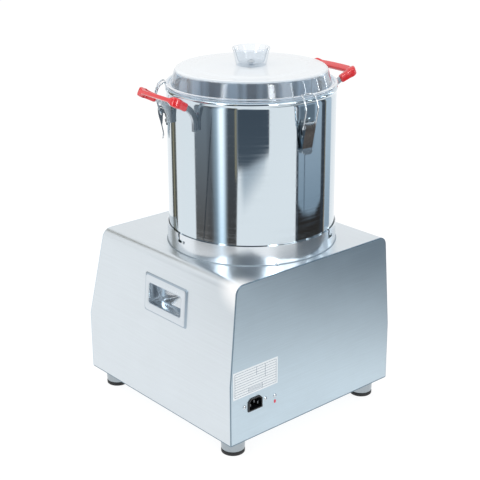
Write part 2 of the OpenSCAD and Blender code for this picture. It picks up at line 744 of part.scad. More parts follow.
// Drive
module motor_shaft() color("silver") at_axis() difference() {
    rotate_extrude() polygon([
        [0, fan_z - 4], [shaft_r - 1, fan_z - 4], [shaft_r, fan_z - 3], [shaft_r, boss_top_z + 2],
        [shaft_top_r, boss_top_z + 3], [shaft_top_r, hub_top_z + hub_cap_t - 0.5],
        [shaft_top_r - 2, hub_top_z + hub_cap_t - 0.5], [shaft_top_r - 2, shaft_end_z], [0, shaft_end_z]
    ]);
    translate([shaft_top_r - 1.5, -20, hub_top_z - 4]) cube([10, 40, hub_cap_t + 4]);
}
module rotor_core() color("gray") at_axis() translate([0, 0, core_z]) {
    ring(rotor_r, shaft_r, core_l);
    for (z = [-6, core_l]) translate([0, 0, z]) ring(rotor_r - 3, rotor_r - 12, 6);
}
module motor_fan() color("dimgray") at_axis() translate([0, 0, fan_z]) {
    ring(18, shaft_r, fan_h);
    translate([0, 0, fan_h - 3]) ring(fan_r - 10, 17, 2);
    for (k = [0 : 8]) rotate(40 * k) translate([16, -1, 0]) cube([fan_r - 16, 2, fan_h - 2]);
}
module blade_hub() color("silver") at_axis() difference() {
    rotate_extrude() polygon([
        [hub_in_r, hub_z + 1], [hub_in_r + 1, hub_z], [ledge_r, hub_z], [ledge_r, blade_z],
        [hub_r, blade_z], [hub_r, hub_top_z + 2], [hub_r - 4, hub_top_z + hub_cap_t],
        [0, hub_top_z + hub_cap_t], [0, hub_top_z], [hub_in_r, hub_top_z]
    ]);
    difference() {
        cylinder(r = shaft_top_r + fit_gap, h = top_z * 2);
        translate([shaft_top_r - 1.5 + fit_gap, -20, 0]) cube([10, 40, top_z * 2]);
    }
}
// One arm: the crescent left between two circles, with its convex edge ground to a bevel
module blade_arm() {
    out_c = blade_r * outer_arc;
    out_r = norm(out_c - [blade_r, 0]);
    in_c = blade_r * inner_arc;
    in_r = norm(in_c - [blade_r, -3]);
    difference() {
        linear_extrude(blade_t) intersection() {
            difference() {
                translate(out_c) circle(out_r);
                translate(in_c) circle(in_r);
            }
            circle(blade_r);
        }
        intersection() {
            translate([ledge_r + 1, -blade_r, -1]) cube([blade_r, 2 * blade_r, blade_t + 2]);
            translate([out_c[0], out_c[1], 0]) difference() {
                translate([0, 0, -1]) cylinder(r = out_r + 5, h = blade_t + 2);
                translate([0, 0, -0.6]) cylinder(
                    r1 = out_r + 0.6 * bevel_w / blade_t, r2 = out_r - bevel_w - 0.6 * bevel_w / blade_t,
                    h = blade_t + 1.2);
            }
        }
    }
}
module blade(z, a) color("whitesmoke") at_axis(a) translate([0, 0, z]) difference() {
    union() {
        cylinder(r = ledge_r, h = blade_t);
        for (t = [0, 180]) rotate(t) blade_arm();
    }
    translate([0, 0, -1]) cylinder(r = hub_r, h = blade_t + 2);
}
module blade_lower() blade(blade_z, 20);
module blade_upper() blade(blade_up_z, 110);
module blade_spacer() color("silver") at_axis() translate([0, 0, blade_z + blade_t])
    ring(ledge_r - 1, hub_r, blade_pitch - blade_t);
module blade_nut() color("silver") at_axis() translate([0, 0, blade_up_z + blade_t]) difference() {
    ring(ledge_r + 2, hub_r, nut_t);
    for (k = [0 : 5]) rotate(60 * k) translate([ledge_r + 2, 0, -1]) cylinder(r = 3, h = nut_t + 2);
}
module hub_knob() color("black") at_axis() translate([0, 0, hub_top_z + hub_cap_t]) difference() {
    union() {
        rotate_extrude() polygon([[0, 0], [15, 0], [15, 4.5], [12, 4.5], [12, 19], [9, 21], [0, 21]]);
        translate([0, 0, 4]) linear_extrude(14) {
            circle(13);
            for (k = [0 : 5]) rotate(60 * k) translate([12, 0]) circle(4.5);
        }
    }
    translate([0, 0, -1]) cylinder(r = shaft_top_r - 2, h = 15.5);
}

// Bowl
module bowl_section() {
    difference() {
        union() {
            translate([0, bowl_z]) square([bowl_r - bowl_edge_r, bowl_edge_r]);
            translate([0, bowl_z + bowl_edge_r]) square([bowl_r, bowl_h - bowl_edge_r]);
            translate([bowl_r - bowl_edge_r, bowl_z + bowl_edge_r]) circle(bowl_edge_r);
            translate([bead_out - bead_r, rim_z - bead_r]) circle(bead_r);
        }
        translate([-1, bowl_z + bowl_t]) square([bowl_r - bowl_edge_r + 1, bowl_h]);
        translate([-1, bowl_z + bowl_edge_r]) square([bowl_r - bowl_t + 1, bowl_h]);
        translate([bowl_r - bowl_edge_r, bowl_z + bowl_edge_r]) circle(bowl_edge_r - bowl_t);
        translate([-1, 0]) square([tube_r + 1, rim_z * 2]);
    }
}
module at_lock_pins() {
    for (k = [0 : 2]) at_axis(bowl_lock + 120 * k) translate([bowl_r, 0, bowl_z + lock_pin_z])
        rotate([0, 90, 0]) children();
}
module bowl_shell() color("gainsboro") difference() {
    at_axis() rotate_extrude($fn = 96) bowl_section();
    at_lock_pins() translate([0, 0, -bowl_t - 1]) cylinder(r = lock_pin_r, h = bowl_t + 2);
}
module lock_pins() color("silver") at_lock_pins() translate([0, 0, -bowl_t])
    cylinder(r = lock_pin_r, h = bowl_t + collar_gap + collar_t + 1.5);
module bowl_tube() color("gainsboro") at_axis() rotate_extrude() polygon([
    [tube_r - 2, bowl_z], [tube_r, bowl_z], [tube_r, tube_top_z - 1], [tube_r - 1, tube_top_z],
    [tube_r - 2, tube_top_z]
]);

// Handles: two arms welded to the bowl, bent outwards, with a bar across their ends
function arm_x() = bowl_r + arm_w / 2 - 0.2;
function arm_foot_z() = rim_z - foot_drop;
function arm_bend_z() = arm_foot_z() + foot_rise;
function arm_line() = concat(
    [[arm_x(), arm_foot_z()], [arm_x(), arm_bend_z()]],
    [for (i = [1 : 8]) let (a = (90 - handle_slope) * i / 8)
        [arm_x() + arm_bend_r * (1 - cos(a)), arm_bend_z() + arm_bend_r * sin(a)]]
);
function arm_path(reach) = let (p = arm_line(), e = p[len(p) - 1])
    concat(p, [[reach, e[1] + (reach - e[0]) * tan(handle_slope)]]);
function bar_z() = let (p = arm_path(handle_reach)) p[len(p) - 1][1];
// Both edges of a strip of given half thickness along a path
function path_normals(p) = [for (t = tangents([for (q = p) [q[0], q[1], 0]])) [-t[1], t[0]]];
function strip(p, h) = let (n = path_normals(p)) concat(
    [for (i = [0 : len(p) - 1]) p[i] + h * n[i]],
    [for (i = [len(p) - 1 : -1 : 0]) p[i] - h * n[i]]
);
// The arms and the bar, each with its own half thickness and half width
module handle_form(arm_half_w, arm_half_t, bar_half_w, bar_half_t, corner) {
    for (s = [-1, 1]) rotate(s * handle_half)
        radial_slab(-arm_half_t, arm_half_t) polygon(strip(arm_path(handle_reach + corner), arm_half_w));
    across = 2 * handle_reach * sin(handle_half) + 2 * arm_half_t - 1;
    translate([handle_reach * cos(handle_half), 0, bar_z()]) rotate([0, -handle_slope, 0])
        cube([2 * bar_half_w, across, 2 * bar_half_t], center = true);
}
module handle_core() difference() {
    handle_form(arm_w / 2, arm_t / 2, arm_w / 2, arm_t / 2, arm_t / 2);
    cylinder(r = bowl_r, h = rim_z);
}
module handle_straps() color("gray")
    for (t = [0, 180]) at_axis(bowl_lock + t) handle_core();
module handle_grips() color("red") for (t = [0, 180]) at_axis(bowl_lock + t) difference() {
    half_w = arm_w / 2 + grip_t;
    half_t = arm_t / 2 + grip_t;
    union() {
        for (s = [-1, 1]) rotate(s * handle_half)
            radial_slab(-half_t, half_t) translate([handle_reach, bar_z()]) circle(grip_corner_r);
        intersection() {
            handle_form(half_w, half_t, half_w, arm_t / 2 + grip_bar_t, half_t);
            translate([handle_reach - sleeve_l, -handle_reach, 0])
                cube([2 * sleeve_l, 2 * handle_reach, rim_z * 2]);
        }
    }
    handle_core();
}
module at_bracket_rivets() {
    for (k = [0 : 2], z = [-17, -9], y = [-0.5, 0.5])
        at_latch(k) translate([bowl_r + latch_t, y * bracket_half, pivot[1] + z])
            children();
}
module bowl_rivets() color("silver")
    at_bracket_rivets() rotate([0, 90, 0]) pan_screw(2, 1, 1.2, latch_t - 0.3);

// Latches, drawn for a latch on the +X side and then turned to their places
module at_latch(k) at_axis(bowl_lock + latch_angles[k]) children();
module latch_bracket() {
    foot_x = bowl_r + latch_t - 0.3;
    intersection() {
        translate([0, 0, bracket_low]) ring(bowl_r + latch_t, bowl_r, bracket_high - bracket_low);
        translate([bowl_r - 10, -bracket_half, 0]) cube([20, 2 * bracket_half, rim_z]);
    }
    for (s = [0, 1]) mirror([0, s, 0]) radial_slab(ear_half, ear_half + latch_t) {
        polygon([
            [foot_x, pivot[1] + ear_r / 2], pivot + [0, ear_r], pivot - [0, ear_r], [foot_x, pivot[1] - 6]
        ]);
        translate(pivot) circle(ear_r);
    }
    radial_slab(-cheek_out, cheek_out) translate(pivot) circle(pivot_r);
    radial_slab(-ear_half, ear_half) translate(pivot) circle(ear_r - 0.2);
}
module latch_brackets() color("silver") difference() {
    for (k = [0 : 2]) at_latch(k) latch_bracket();
    at_bracket_rivets() translate([-5, 0, 0]) rotate([0, 90, 0]) cylinder(r = 1.2, h = 10);
}
// Lever's face: close round the pivot, then leaning in towards the bowl, with its tab bent out
function lever_face() = [
    pivot + [face_r, 0], pivot + [face_r, -3], pivot + [face_r - 1, -9], pivot + [1, -15], pivot + [-1, -24],
    pivot + [-3, -lever_l + 9], pivot + [-2.8, -lever_l + 6], pivot + [-1.4, -lever_l]
];
module lever_cheek() difference() {
    union() {
        polygon([
            for (i = [0 : 4]) lever_face()[i],
            pivot + [-2.2, -15], eye - [2.4, 0], pivot - [3, 0]
        ]);
        translate(pivot) circle(ear_r + 1);
        translate(eye) circle(wire_r + 1.6);
    }
    translate(pivot) circle(pivot_r + fit_gap);
    translate(eye) circle(wire_r + fit_gap);
}
module latch_lever(k) color("lightgray") at_latch(k) {
    for (s = [0, 1]) mirror([0, s, 0]) radial_slab(cheek_in, cheek_out) lever_cheek();
    intersection() {
        radial_slab(-cheek_out, cheek_out) polygon(strip(lever_face(), latch_t / 2));
        side_to_side(bowl_r, 2 * bowl_r) translate([0, pivot[1] - lever_l / 2 + tab_corner_r])
            rounded_rect(2 * cheek_out, lever_l + 2 * tab_corner_r, tab_corner_r);
    }
}
function bail_path() = let (
    hook = hook_bead + (lid_bead_r + wire_r + pass_gap) * [cos(62), sin(62)],
    bulge = bowl_r + wire_bulge,
    rise = hook[1] - eye[1],
    pts = [
        [eye[0], cheek_in, eye[1]], [eye[0], wire_half, eye[1]],
        [eye[0] + 2.6, wire_half, eye[1] + 0.14 * rise], [bulge - 3, wire_half, eye[1] + 0.36 * rise],
        [bulge, wire_half, eye[1] + 0.6 * rise], [bulge - 3, wire_half, eye[1] + 0.79 * rise],
        [hook[0] + 9, wire_half, hook[1] - 4], [hook[0] + 3.4, wire_half, hook[1] + 0.6],
        [hook[0], wire_half - 2.5, hook[1]]
    ]
) concat(pts, [for (i = [len(pts) - 1 : -1 : 0]) [pts[i][0], -pts[i][1], pts[i][2]]]);
module latch_bail(k) color("silver") at_latch(k) wire(smoothed(bail_path(), 2), wire_r, 8);
module latch_lever_1() latch_lever(0);
module latch_lever_2() latch_lever(1);
module latch_lever_3() latch_lever(2);
module latch_bail_1() latch_bail(0);
module latch_bail_2() latch_bail(1);
module latch_bail_3() latch_bail(2);

// Lid
module lid_solid(inset) {
    low = inset > 0 ? lid_z - 1 : lid_z;
    wall_x = lid_wall_r - inset / cos(lid_lean);
    r = lid_shoulder_r - inset;
    z = lid_top_z - lid_shoulder_r;
    x = lid_wall_r - lid_shoulder_r / cos(lid_lean) - (z - lid_z) * tan(lid_lean);
    polygon([
        [0, low], [wall_x, low], [wall_x, lid_z], [x + r * cos(lid_lean), z + r * sin(lid_lean)],
        [x, z], [x, lid_top_z - inset], [0, lid_top_z - inset]
    ]);
    translate([x, z]) circle(r);
    translate([0, lid_top_z - inset - 1]) square([lid_disc_r - inset, lid_step + 1]);
}
module lid_shell() color("azure", 0.4) at_axis() difference() {
    rotate_extrude($fn = 96) {
        difference() {
            lid_solid(0);
            lid_solid(lid_t);
        }
        rim_in = lid_wall_r - lid_t - 0.5;
        translate([rim_in, lid_z]) square([bead_out - lid_bead_r - rim_in, lid_t]);
        translate(hook_bead) circle(lid_bead_r);
        translate([skirt_r - 2, lid_z - skirt_depth]) square([2, skirt_depth + 0.5]);
    }
    cylinder(r = 3.2, h = rim_z * 2);
}
module lid_seal() color("white") at_axis() rotate_extrude() difference() {
    union() {
        translate([skirt_r - 0.2, lid_z - 6.5]) square([1.1, 4]);
        translate([skirt_r - 2, lid_z - 5.2]) square([2, 1.4]);
    }
    translate([0, lid_z - 20]) square([skirt_r, 40]);
}
module lid_knob() color("azure", 0.5) at_axis() translate([0, 0, knob_z]) rotate_extrude() difference() {
    union() {
        polygon([
            [0, 0], [knob_foot_r, 0], [knob_top_r - 1, knob_h - 4], [knob_top_r - 1, knob_h], [0, knob_h]
        ]);
        translate([knob_top_r - 1.5, knob_h - 1.5]) circle(1.5);
        translate([knob_top_r - 1.5, knob_h - 3]) circle(1.5);
    }
    polygon([
        [0, 5], [knob_foot_r - knob_t, 5], [knob_top_r - knob_t, knob_h + 1], [0, knob_h + 1]
    ]);
    translate([-1, -1]) square([4.2, 20]);
}
module knob_screw() color("silver") at_axis() translate([0, 0, knob_z + 5]) {
    pan_screw(6, 3, 3, 5 + lid_t + 5);
    translate([0, 0, -5 - lid_t - 4]) cylinder(r = 6, h = 4, $fn = 6);
}

housing_shell();
front_panel();
back_panel();
bottom_plate();
bottom_screws();
foot_cups();
foot_pads();
foot_bolts();
carry_handle_left();
carry_handle_right();
bowl_collar();
bowl_seat();
motor_plate();
motor_bolts();
motor_frame();
motor_bell_upper();
motor_bell_lower();
motor_tie_rods();
stator_core();
stator_windings();
bearing_upper();
bearing_lower();
shaft_seal();
capacitor();
control_board();
inlet_body();
inlet_pins();
back_screws();
button_bezels();
switch_blocks();
speed_control();
start_button();
stop_button();
speed_knob();
motor_shaft();
rotor_core();
motor_fan();
blade_hub();
blade_lower();
blade_upper();
blade_spacer();
blade_nut();
hub_knob();
bowl_shell();
lock_pins();
bowl_tube();
handle_straps();
handle_grips();
bowl_rivets();
latch_brackets();
lid_shell();
lid_seal();
lid_knob();
knob_screw();
latch_lever_1();
latch_lever_2();
latch_lever_3();
latch_bail_1();
latch_bail_2();
latch_bail_3();
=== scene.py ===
# Bowl cutter seen from behind: a leaning steel cabinet with a polished bowl locked in its collar,
# two handles with red grips, three draw latches and a clear lid with a cup-shaped knob. Metres.
import json
import math

import bmesh
import bpy
import numpy as np
from mathutils import Matrix, Vector


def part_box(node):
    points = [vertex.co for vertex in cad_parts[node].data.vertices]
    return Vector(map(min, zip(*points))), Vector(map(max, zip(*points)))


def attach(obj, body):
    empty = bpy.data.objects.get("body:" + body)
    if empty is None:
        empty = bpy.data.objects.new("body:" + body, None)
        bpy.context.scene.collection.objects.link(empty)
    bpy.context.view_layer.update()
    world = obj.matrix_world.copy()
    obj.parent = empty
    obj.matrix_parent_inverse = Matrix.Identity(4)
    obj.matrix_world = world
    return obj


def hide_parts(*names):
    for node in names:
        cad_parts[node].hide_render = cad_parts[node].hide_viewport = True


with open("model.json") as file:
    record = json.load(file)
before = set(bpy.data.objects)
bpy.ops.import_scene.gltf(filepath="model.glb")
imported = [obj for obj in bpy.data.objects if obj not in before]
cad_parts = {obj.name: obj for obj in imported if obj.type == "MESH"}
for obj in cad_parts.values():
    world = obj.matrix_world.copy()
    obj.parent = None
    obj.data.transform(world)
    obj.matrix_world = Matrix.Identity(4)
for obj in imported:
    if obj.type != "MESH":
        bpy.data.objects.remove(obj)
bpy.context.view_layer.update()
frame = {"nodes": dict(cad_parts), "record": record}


# Cabinet
# Stainless sheet folded over both sides and the top, with the front and back panels welded
# on and their corners ground round. Brushed, so it mirrors the room only as soft tones.


def linear(colour):
    """An sRGB hex colour as linear red, green, blue and alpha."""
    parts = [int(colour[i : i + 2], 16) / 255 for i in (0, 2, 4)]
    return tuple(p / 12.92 if p <= 0.04045 else ((p + 0.055) / 1.055) ** 2.4 for p in parts) + (1.0,)


def new_material(name):
    """A material with no nodes yet."""
    made = bpy.data.materials.new(name)
    made.use_nodes = True
    made.node_tree.nodes.clear()
    return made


def add(material, kind, sockets=None, **settings):
    """Adds a node, applies its settings, and fills or joins its sockets."""
    made = material.node_tree.nodes.new(kind)
    for key, value in settings.items():
        setattr(made, key, value)
    for key, value in (sockets or {}).items():
        if isinstance(value, bpy.types.NodeSocket):
            material.node_tree.links.new(value, made.inputs[key])
        else:
            made.inputs[key].default_value = value
    return made


def brushed(name, colour, roughness, along, line_mm, spread=0.05, tone=0.0, ground=None):
    """Brushed metal. Lines line_mm apart run along one axis, 40 times longer than apart. Real grit
    lines are under 0.2 mm apart, so line_mm is as coarse as they need to show. They change the
    gloss and tilt the surface; a slow cloud stands for uneven polishing and moves the tone by the
    given share. Round the point given as ground it is painted white and matt: a painted highlight."""
    made = new_material(name)
    place = add(made, "ShaderNodeTexCoord").outputs["Object"]
    stretch = [1 / 40 if letter == along else 1.0 for letter in "XYZ"]
    drawn = add(made, "ShaderNodeMapping", {"Vector": place, "Scale": stretch}).outputs["Vector"]
    lines = add(made, "ShaderNodeTexNoise", {
        "Vector": drawn, "Scale": 1000 / line_mm, "Detail": 2.0}).outputs["Fac"]
    cloud = add(made, "ShaderNodeTexNoise", {"Vector": place, "Scale": 14.0, "Detail": 3.0}).outputs["Fac"]
    both = add(made, "ShaderNodeMath", {0: lines, 1: cloud}, operation="ADD").outputs[0]
    gloss = add(made, "ShaderNodeMapRange", {
        "Value": both, "From Min": 0.6, "From Max": 1.4,
        "To Min": roughness - spread, "To Max": roughness + spread}).outputs[0]
    tilt = add(made, "ShaderNodeBump", {"Height": lines, "Strength": 0.25, "Distance": 0.00002}).outputs[0]
    swing = add(made, "ShaderNodeMapRange", {
        "Value": both, "From Min": 0.7, "From Max": 1.3, "To Min": 1 - tone, "To Max": 1 + tone}).outputs[0]
    shade = add(made, "ShaderNodeVectorMath", {0: linear(colour)[:3], 1: swing},
                operation="MULTIPLY").outputs[0]
    sockets = {"Base Color": shade, "Metallic": 1.0, "Roughness": gloss, "Normal": tilt}
    # A painted highlight: round the point given as ground the metal turns white and matt
    if ground:
        away = add(made, "ShaderNodeVectorMath", {0: place, 1: ground}, operation="DISTANCE").outputs["Value"]
        painted_highlight = add(made, "ShaderNodeMapRange", {"Value": away, "From Min": 0.008, "From Max": 0.048},
                    interpolation_type="SMOOTHSTEP").outputs[0]
        highlighted = add(made, "ShaderNodeMix", {"Factor": painted_highlight, "A": linear("FFFFFF"), "B": shade},
                       data_type="RGBA").outputs["Result"]
        sockets.update({"Metallic": painted_highlight, "Base Color": highlighted})
    shader = add(made, "ShaderNodeBsdfPrincipled", sockets).outputs[0]
    add(made, "ShaderNodeOutputMaterial", {"Surface": shader})
    return made


def softened(name, nodes, body, material, width=0.0, chosen=None, smooth_under=32, seam=None):
    """A copy of CAD nodes as one mesh: doubles merged, flat neighbours joined, and the chosen
    edges rounded by width millimetres, in the seam material if there is one. Edges that turn less
    than smooth_under degrees look round."""
    whole = bmesh.new()
    for node in nodes:
        whole.from_mesh(frame["nodes"][node].data)
    bmesh.ops.remove_doubles(whole, verts=whole.verts, dist=3e-6)
    bmesh.ops.dissolve_limit(whole, angle_limit=math.radians(0.4), verts=whole.verts, edges=whole.edges)
    if width:
        corners = [e for e in whole.edges
                   if len(e.link_faces) == 2 and e.calc_face_angle(0) > math.radians(smooth_under)
                   and (chosen is None or chosen(e))]
        rounded = bmesh.ops.bevel(whole, geom=corners, offset=width / 1000, segments=3, profile=0.6,
                                  affect="EDGES", clamp_overlap=True)["faces"]
        for face in rounded:
            face.material_index = int(seam is not None)
    for face in whole.faces:
        face.smooth = True
    for edge in whole.edges:
        edge.smooth = len(edge.link_faces) == 2 and edge.calc_face_angle(0) < math.radians(smooth_under)
    mesh = bpy.data.meshes.new(name)
    whole.to_mesh(mesh)
    whole.free()
    piece = bpy.data.objects.new(name, mesh)
    bpy.context.scene.collection.objects.link(piece)
    even = piece.modifiers.new("even shading", "WEIGHTED_NORMAL")
    even.keep_sharp = True
    mesh.materials.append(material)
    if seam is not None:
        mesh.materials.append(seam)
    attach(piece, body)
    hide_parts(*nodes)
    return piece


def surface(name, points, body, material, nodes=(), round_u=True, round_v=False, smooth_under=35):
    """A grid of points as a mesh. The grid closes on itself along u or v where it is round."""
    rows, columns = points.shape[:2]
    u, v = np.arange(rows if round_u else rows - 1), np.arange(columns if round_v else columns - 1)
    a, b = np.meshgrid(u, v, indexing="ij")
    a2, b2 = (a + 1) % rows, (b + 1) % columns
    quads = np.stack([a * columns + b, a2 * columns + b, a2 * columns + b2, a * columns + b2], -1)
    mesh = bpy.data.meshes.new(name)
    mesh.from_pydata(points.reshape(-1, 3).tolist(), [], quads.reshape(-1, 4).tolist())
    tidy = bmesh.new()
    tidy.from_mesh(mesh)
    bmesh.ops.remove_doubles(tidy, verts=tidy.verts, dist=1e-6)
    bmesh.ops.recalc_face_normals(tidy, faces=tidy.faces)
    for face in tidy.faces:
        face.smooth = True
    for edge in tidy.edges:
        edge.smooth = len(edge.link_faces) == 2 and edge.calc_face_angle(0) < math.radians(smooth_under)
    tidy.to_mesh(mesh)
    tidy.free()
    mesh.materials.append(material)
    piece = bpy.data.objects.new(name, mesh)
    bpy.context.scene.collection.objects.link(piece)
    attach(piece, body)
    if nodes:
        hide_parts(*nodes)
    return piece


def slab(name, low, high, body, material):
    """A box between two corners: the six sides meet at its eight corner points."""
    (x0, y0, z0), (x1, y1, z1) = low, high
    rings = [[(x0, y0, z), (x1, y0, z), (x1, y1, z), (x0, y1, z)] for z in (z0, z1)]
    middle = [[((x0 + x1) / 2, (y0 + y1) / 2, z)] * 4 for z in (z0, z1)]
    points = np.array([middle[0], rings[0], rings[1], middle[1]]).transpose(1, 0, 2)
    return surface(name, points, body, material)


back_low, back_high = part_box("back_panel")
back_y, side_x, skirt_z = back_high.y, back_high.x, back_low.z
front_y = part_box("front_panel")[0].y
lean_x, fold_z, lean_depth = 0.14, 0.268, 0.0305
lip, skin = 0.0015, 0.0001
# The brushing, drawn 2.5 and 1.8 mm apart, pulls the room out into soft streaks. The corner
# nearest the eye is painted white and matt: a painted highlight.
wrap_steel = brushed("brushed stainless wrap", "D9E0E5", 0.33, "Y", 2.5, tone=0.03,
                     ground=(side_x - 0.012, back_y, back_high.z))
# The panels are the wrap's stainless painted darker and bluer: painted shade and reflection
panel_steel_painted_shade = brushed("brushed stainless panel painted darker", "C4D4DE", 0.33, "X", 1.8, tone=0.04)
# Thin dark lines: partly rough shorn edges, partly painted shade under the lip; they lie a skin proud of the
# sheet
cut_edge_and_shade = brushed("cut sheet edge and painted shade", "7F92A0", 0.4, "X", 2.0)


def back_rim(edge):
    """True for the edges of the back face along the sides, the slopes and the top."""
    low_z, far_x = min(v.co.z for v in edge.verts), max(abs(v.co.x) for v in edge.verts)
    flush = min(v.co.y for v in edge.verts) > back_y - 1e-5
    return flush and low_z > skirt_z - 1e-5 and (far_x > lean_x or low_z > fold_z)


def front_rim(edge):
    """True for the edges of the leaning front face."""
    faces_front = min(f.normal.y for f in edge.link_faces) < -0.9
    return faces_front and max(v.co.y for v in edge.verts) < front_y + lean_depth


softened("cabinet_wrap", ["housing_shell"], "base", wrap_steel)
# The back face's rounded rim takes the dark edge colour: partly cut edge, partly painted shade
softened("cabinet_back", ["back_panel"], "base", panel_steel_painted_shade, 1.4, back_rim, seam=cut_edge_and_shade)
softened("cabinet_front", ["front_panel"], "base", panel_steel_painted_shade, 1.4, front_rim)
# Dark strips along the bottom edges: partly the rough cut edge, partly painted shade under the lip
edge_foot, edge_head = skirt_z - skin, skirt_z + skin + 0.001
slab("back_edge", (lip - side_x, back_y - 0.001, edge_foot), (side_x - lip, back_y + skin, edge_head),
     "base", cut_edge_and_shade)
for x in (-side_x, side_x):
    slab("side_edge", (x - skin, front_y + 0.002, edge_foot), (x + skin, back_y - lip, edge_head),
         "base", cut_edge_and_shade)


# Carry pockets
# A pressed frame with a finger pocket behind it, on each side. Thicker sheet than the cabinet,
# tumbled to a finer satin, so it looks a little brighter and its inside catches long streaks.


def grained(name, colour, roughness, grain_mm, depth_mm, **more):
    """A moulded or painted surface. Fine noise of one grain size tilts it a little, and a
    slower noise moves its gloss by a tenth up and down. Real grain is under half a millimetre
    and is drawn at one or more, to show."""
    made = new_material(name)
    place = add(made, "ShaderNodeTexCoord").outputs["Object"]
    grain = add(made, "ShaderNodeTexNoise", {
        "Vector": place, "Scale": 1000 / grain_mm, "Detail": 2.0}).outputs["Fac"]
    cloud = add(made, "ShaderNodeTexNoise", {"Vector": place, "Scale": 60.0, "Detail": 2.0}).outputs["Fac"]
    gloss = add(made, "ShaderNodeMapRange", {
        "Value": cloud, "From Min": 0.3, "From Max": 0.7,
        "To Min": roughness * 0.9, "To Max": roughness * 1.1}).outputs[0]
    tilt = add(made, "ShaderNodeBump", {
        "Height": grain, "Strength": 0.3, "Distance": depth_mm / 1000}).outputs[0]
    sockets = {"Base Color": linear(colour), "Roughness": gloss, "Normal": tilt}
    sockets.update({key.replace("_", " "): value for key, value in more.items()})
    shader = add(made, "ShaderNodeBsdfPrincipled", sockets).outputs[0]
    add(made, "ShaderNodeOutputMaterial", {"Surface": shader})
    return made


# Tumbling leaves short satin lines on the frame, whose sloped flank is painted darker, a painted shade, and
# the press tool leaves the inside smooth, so it throws back bent shapes of the room
pocket_steel = brushed("satin stainless pressing", "D6DDE3", 0.3, "Y", 2.5, spread=0.04)
scoop_steel = grained("polished pocket inside", "D9E0E6", 0.14, 3.0, 0.02, Metallic=0.92)
flank_steel_painted_shade = brushed("pocket flank painted darker", "A9B7C3", 0.3, "Y", 2.5, spread=0.04)


def rounded_ring(half_x, half_y, radius, height, steps=8):
    """A rectangle with round corners at one height, as points: each corner is a quarter circle."""
    points = []
    for quarter, (sx, sy) in enumerate(((1, 1), (-1, 1), (-1, -1), (1, -1))):
        t = np.radians(np.linspace(0, 90, steps) + 90 * quarter)
        points.append(np.stack([sx * (half_x - radius) + radius * np.cos(t),
                                sy * (half_y - radius) + radius * np.sin(t), height + 0 * t], -1))
    return np.concatenate(points)


def grown(half, by, radius, height):
    """A ring's sizes where a pair of half sizes has grown by the same amount all round."""
    return half[0] + by, half[1] + by, radius, height


# Rings of half sizes, corner radius and height over the frame's face. They run from the scoop's
# floor up its wall, over the mouth and the rim, and back behind the sheet.
mouth, rim, proud = (0.0154, 0.0374), (0.03, 0.0505), 0.0027
scoop_d, scoop_bend, sheet_t = 0.0325, 0.009, 0.0017
tip = (0.0005, 0.003, 0.0004)
pocket_rings = [(*tip, -scoop_d), (0.0095, 0.0275, scoop_bend, -scoop_d)]
pocket_rings += [(mouth[0] - by, mouth[1] - 1.6 * by, scoop_bend, z)
                 for by, z in ((0.0035, -0.0318), (0.0016, -0.0295), (0.0004, -0.026), (0.0, -0.022))]
pocket_rings += [grown(mouth, by, radius, z) for by, radius, z in (
    (0, 0.004, -0.010), (0, 0.002, -0.0012), (0.0003, 0.0023, -0.0003), (0.0011, 0.003, 0))]
pocket_rings += [grown(rim, by, radius, z) for by, radius, z in (
    (-0.0038, 0.003, 0), (-0.0028, 0.0032, -0.0002), (-0.0004, 0.0034, -0.002), (0, 0.0034, -proud))]
pocket_rings += [grown(mouth, sheet_t, 0.004, -proud), grown(mouth, sheet_t, 0.006, -0.022),
                 (*tip, -scoop_d - 0.002)]
flat_form = np.stack([rounded_ring(*ring) for ring in pocket_rings], 1)
poles = [np.repeat(flat_form[:, k].mean(0)[None, None], flat_form.shape[0], 0) for k in (0, -1)]
flat_form = np.concatenate([poles[0], flat_form, poles[1]], 1)
for side, sign in (("left", -1), ("right", 1)):
    cad = frame["nodes"][f"carry_handle_{side}"].data
    front = max((f for f in cad.polygons if sign * f.normal.x > 0.9), key=lambda f: sign * f.center.x)
    outward = np.array(front.normal)
    upward = np.array([-outward[2] * sign, 0, outward[0] * sign])
    plane = np.array([v.co for v in cad.vertices if abs((v.co - front.center).dot(front.normal)) < 2e-5])
    middle = (plane.min(0) + plane.max(0)) / 2
    form = middle + flat_form @ np.array([upward, (0, sign, 0), outward])
    pocket = surface(f"carry_pocket_{side}", form, "base", pocket_steel,
                     [f"carry_handle_{side}"], smooth_under=50)
    pocket.data.materials.append(scoop_steel)
    pocket.data.materials.append(flank_steel_painted_shade)
    for face in pocket.data.polygons:
        place = np.array(face.center) - middle
        inside = abs(place[1]) < mouth[1] + 0.0005 and abs(place @ upward) < mouth[0] + 0.0005
        # The sloped flank faces take the painted shade colour
        flank = place @ outward < -0.0001 and np.array(face.normal) @ outward > 0.1
        face.material_index = 1 if inside else 2 if flank else 0


# Feet
# Turned steel cups, bolted up through the bottom plate. Each stands on a moulded pad of black
# rubber that keeps the machine from walking.


def turned(profile, centre, around=96):
    """A profile of (radius, height) carried round a vertical axis: x = r cos t, y = r sin t."""
    t = np.linspace(0, 2 * np.pi, around, endpoint=False)[:, None]
    r, z = np.array(profile, float).T
    return np.stack([centre[0] + r * np.cos(t), centre[1] + r * np.sin(t), z + 0 * t], -1)


def bend(centre, radius, start, end, steps=8):
    """Points on an arc of a profile, from one angle in degrees to another."""
    t = np.radians(np.linspace(start, end, steps))
    return list(zip(centre[0] + radius * np.cos(t), centre[1] + radius * np.sin(t)))


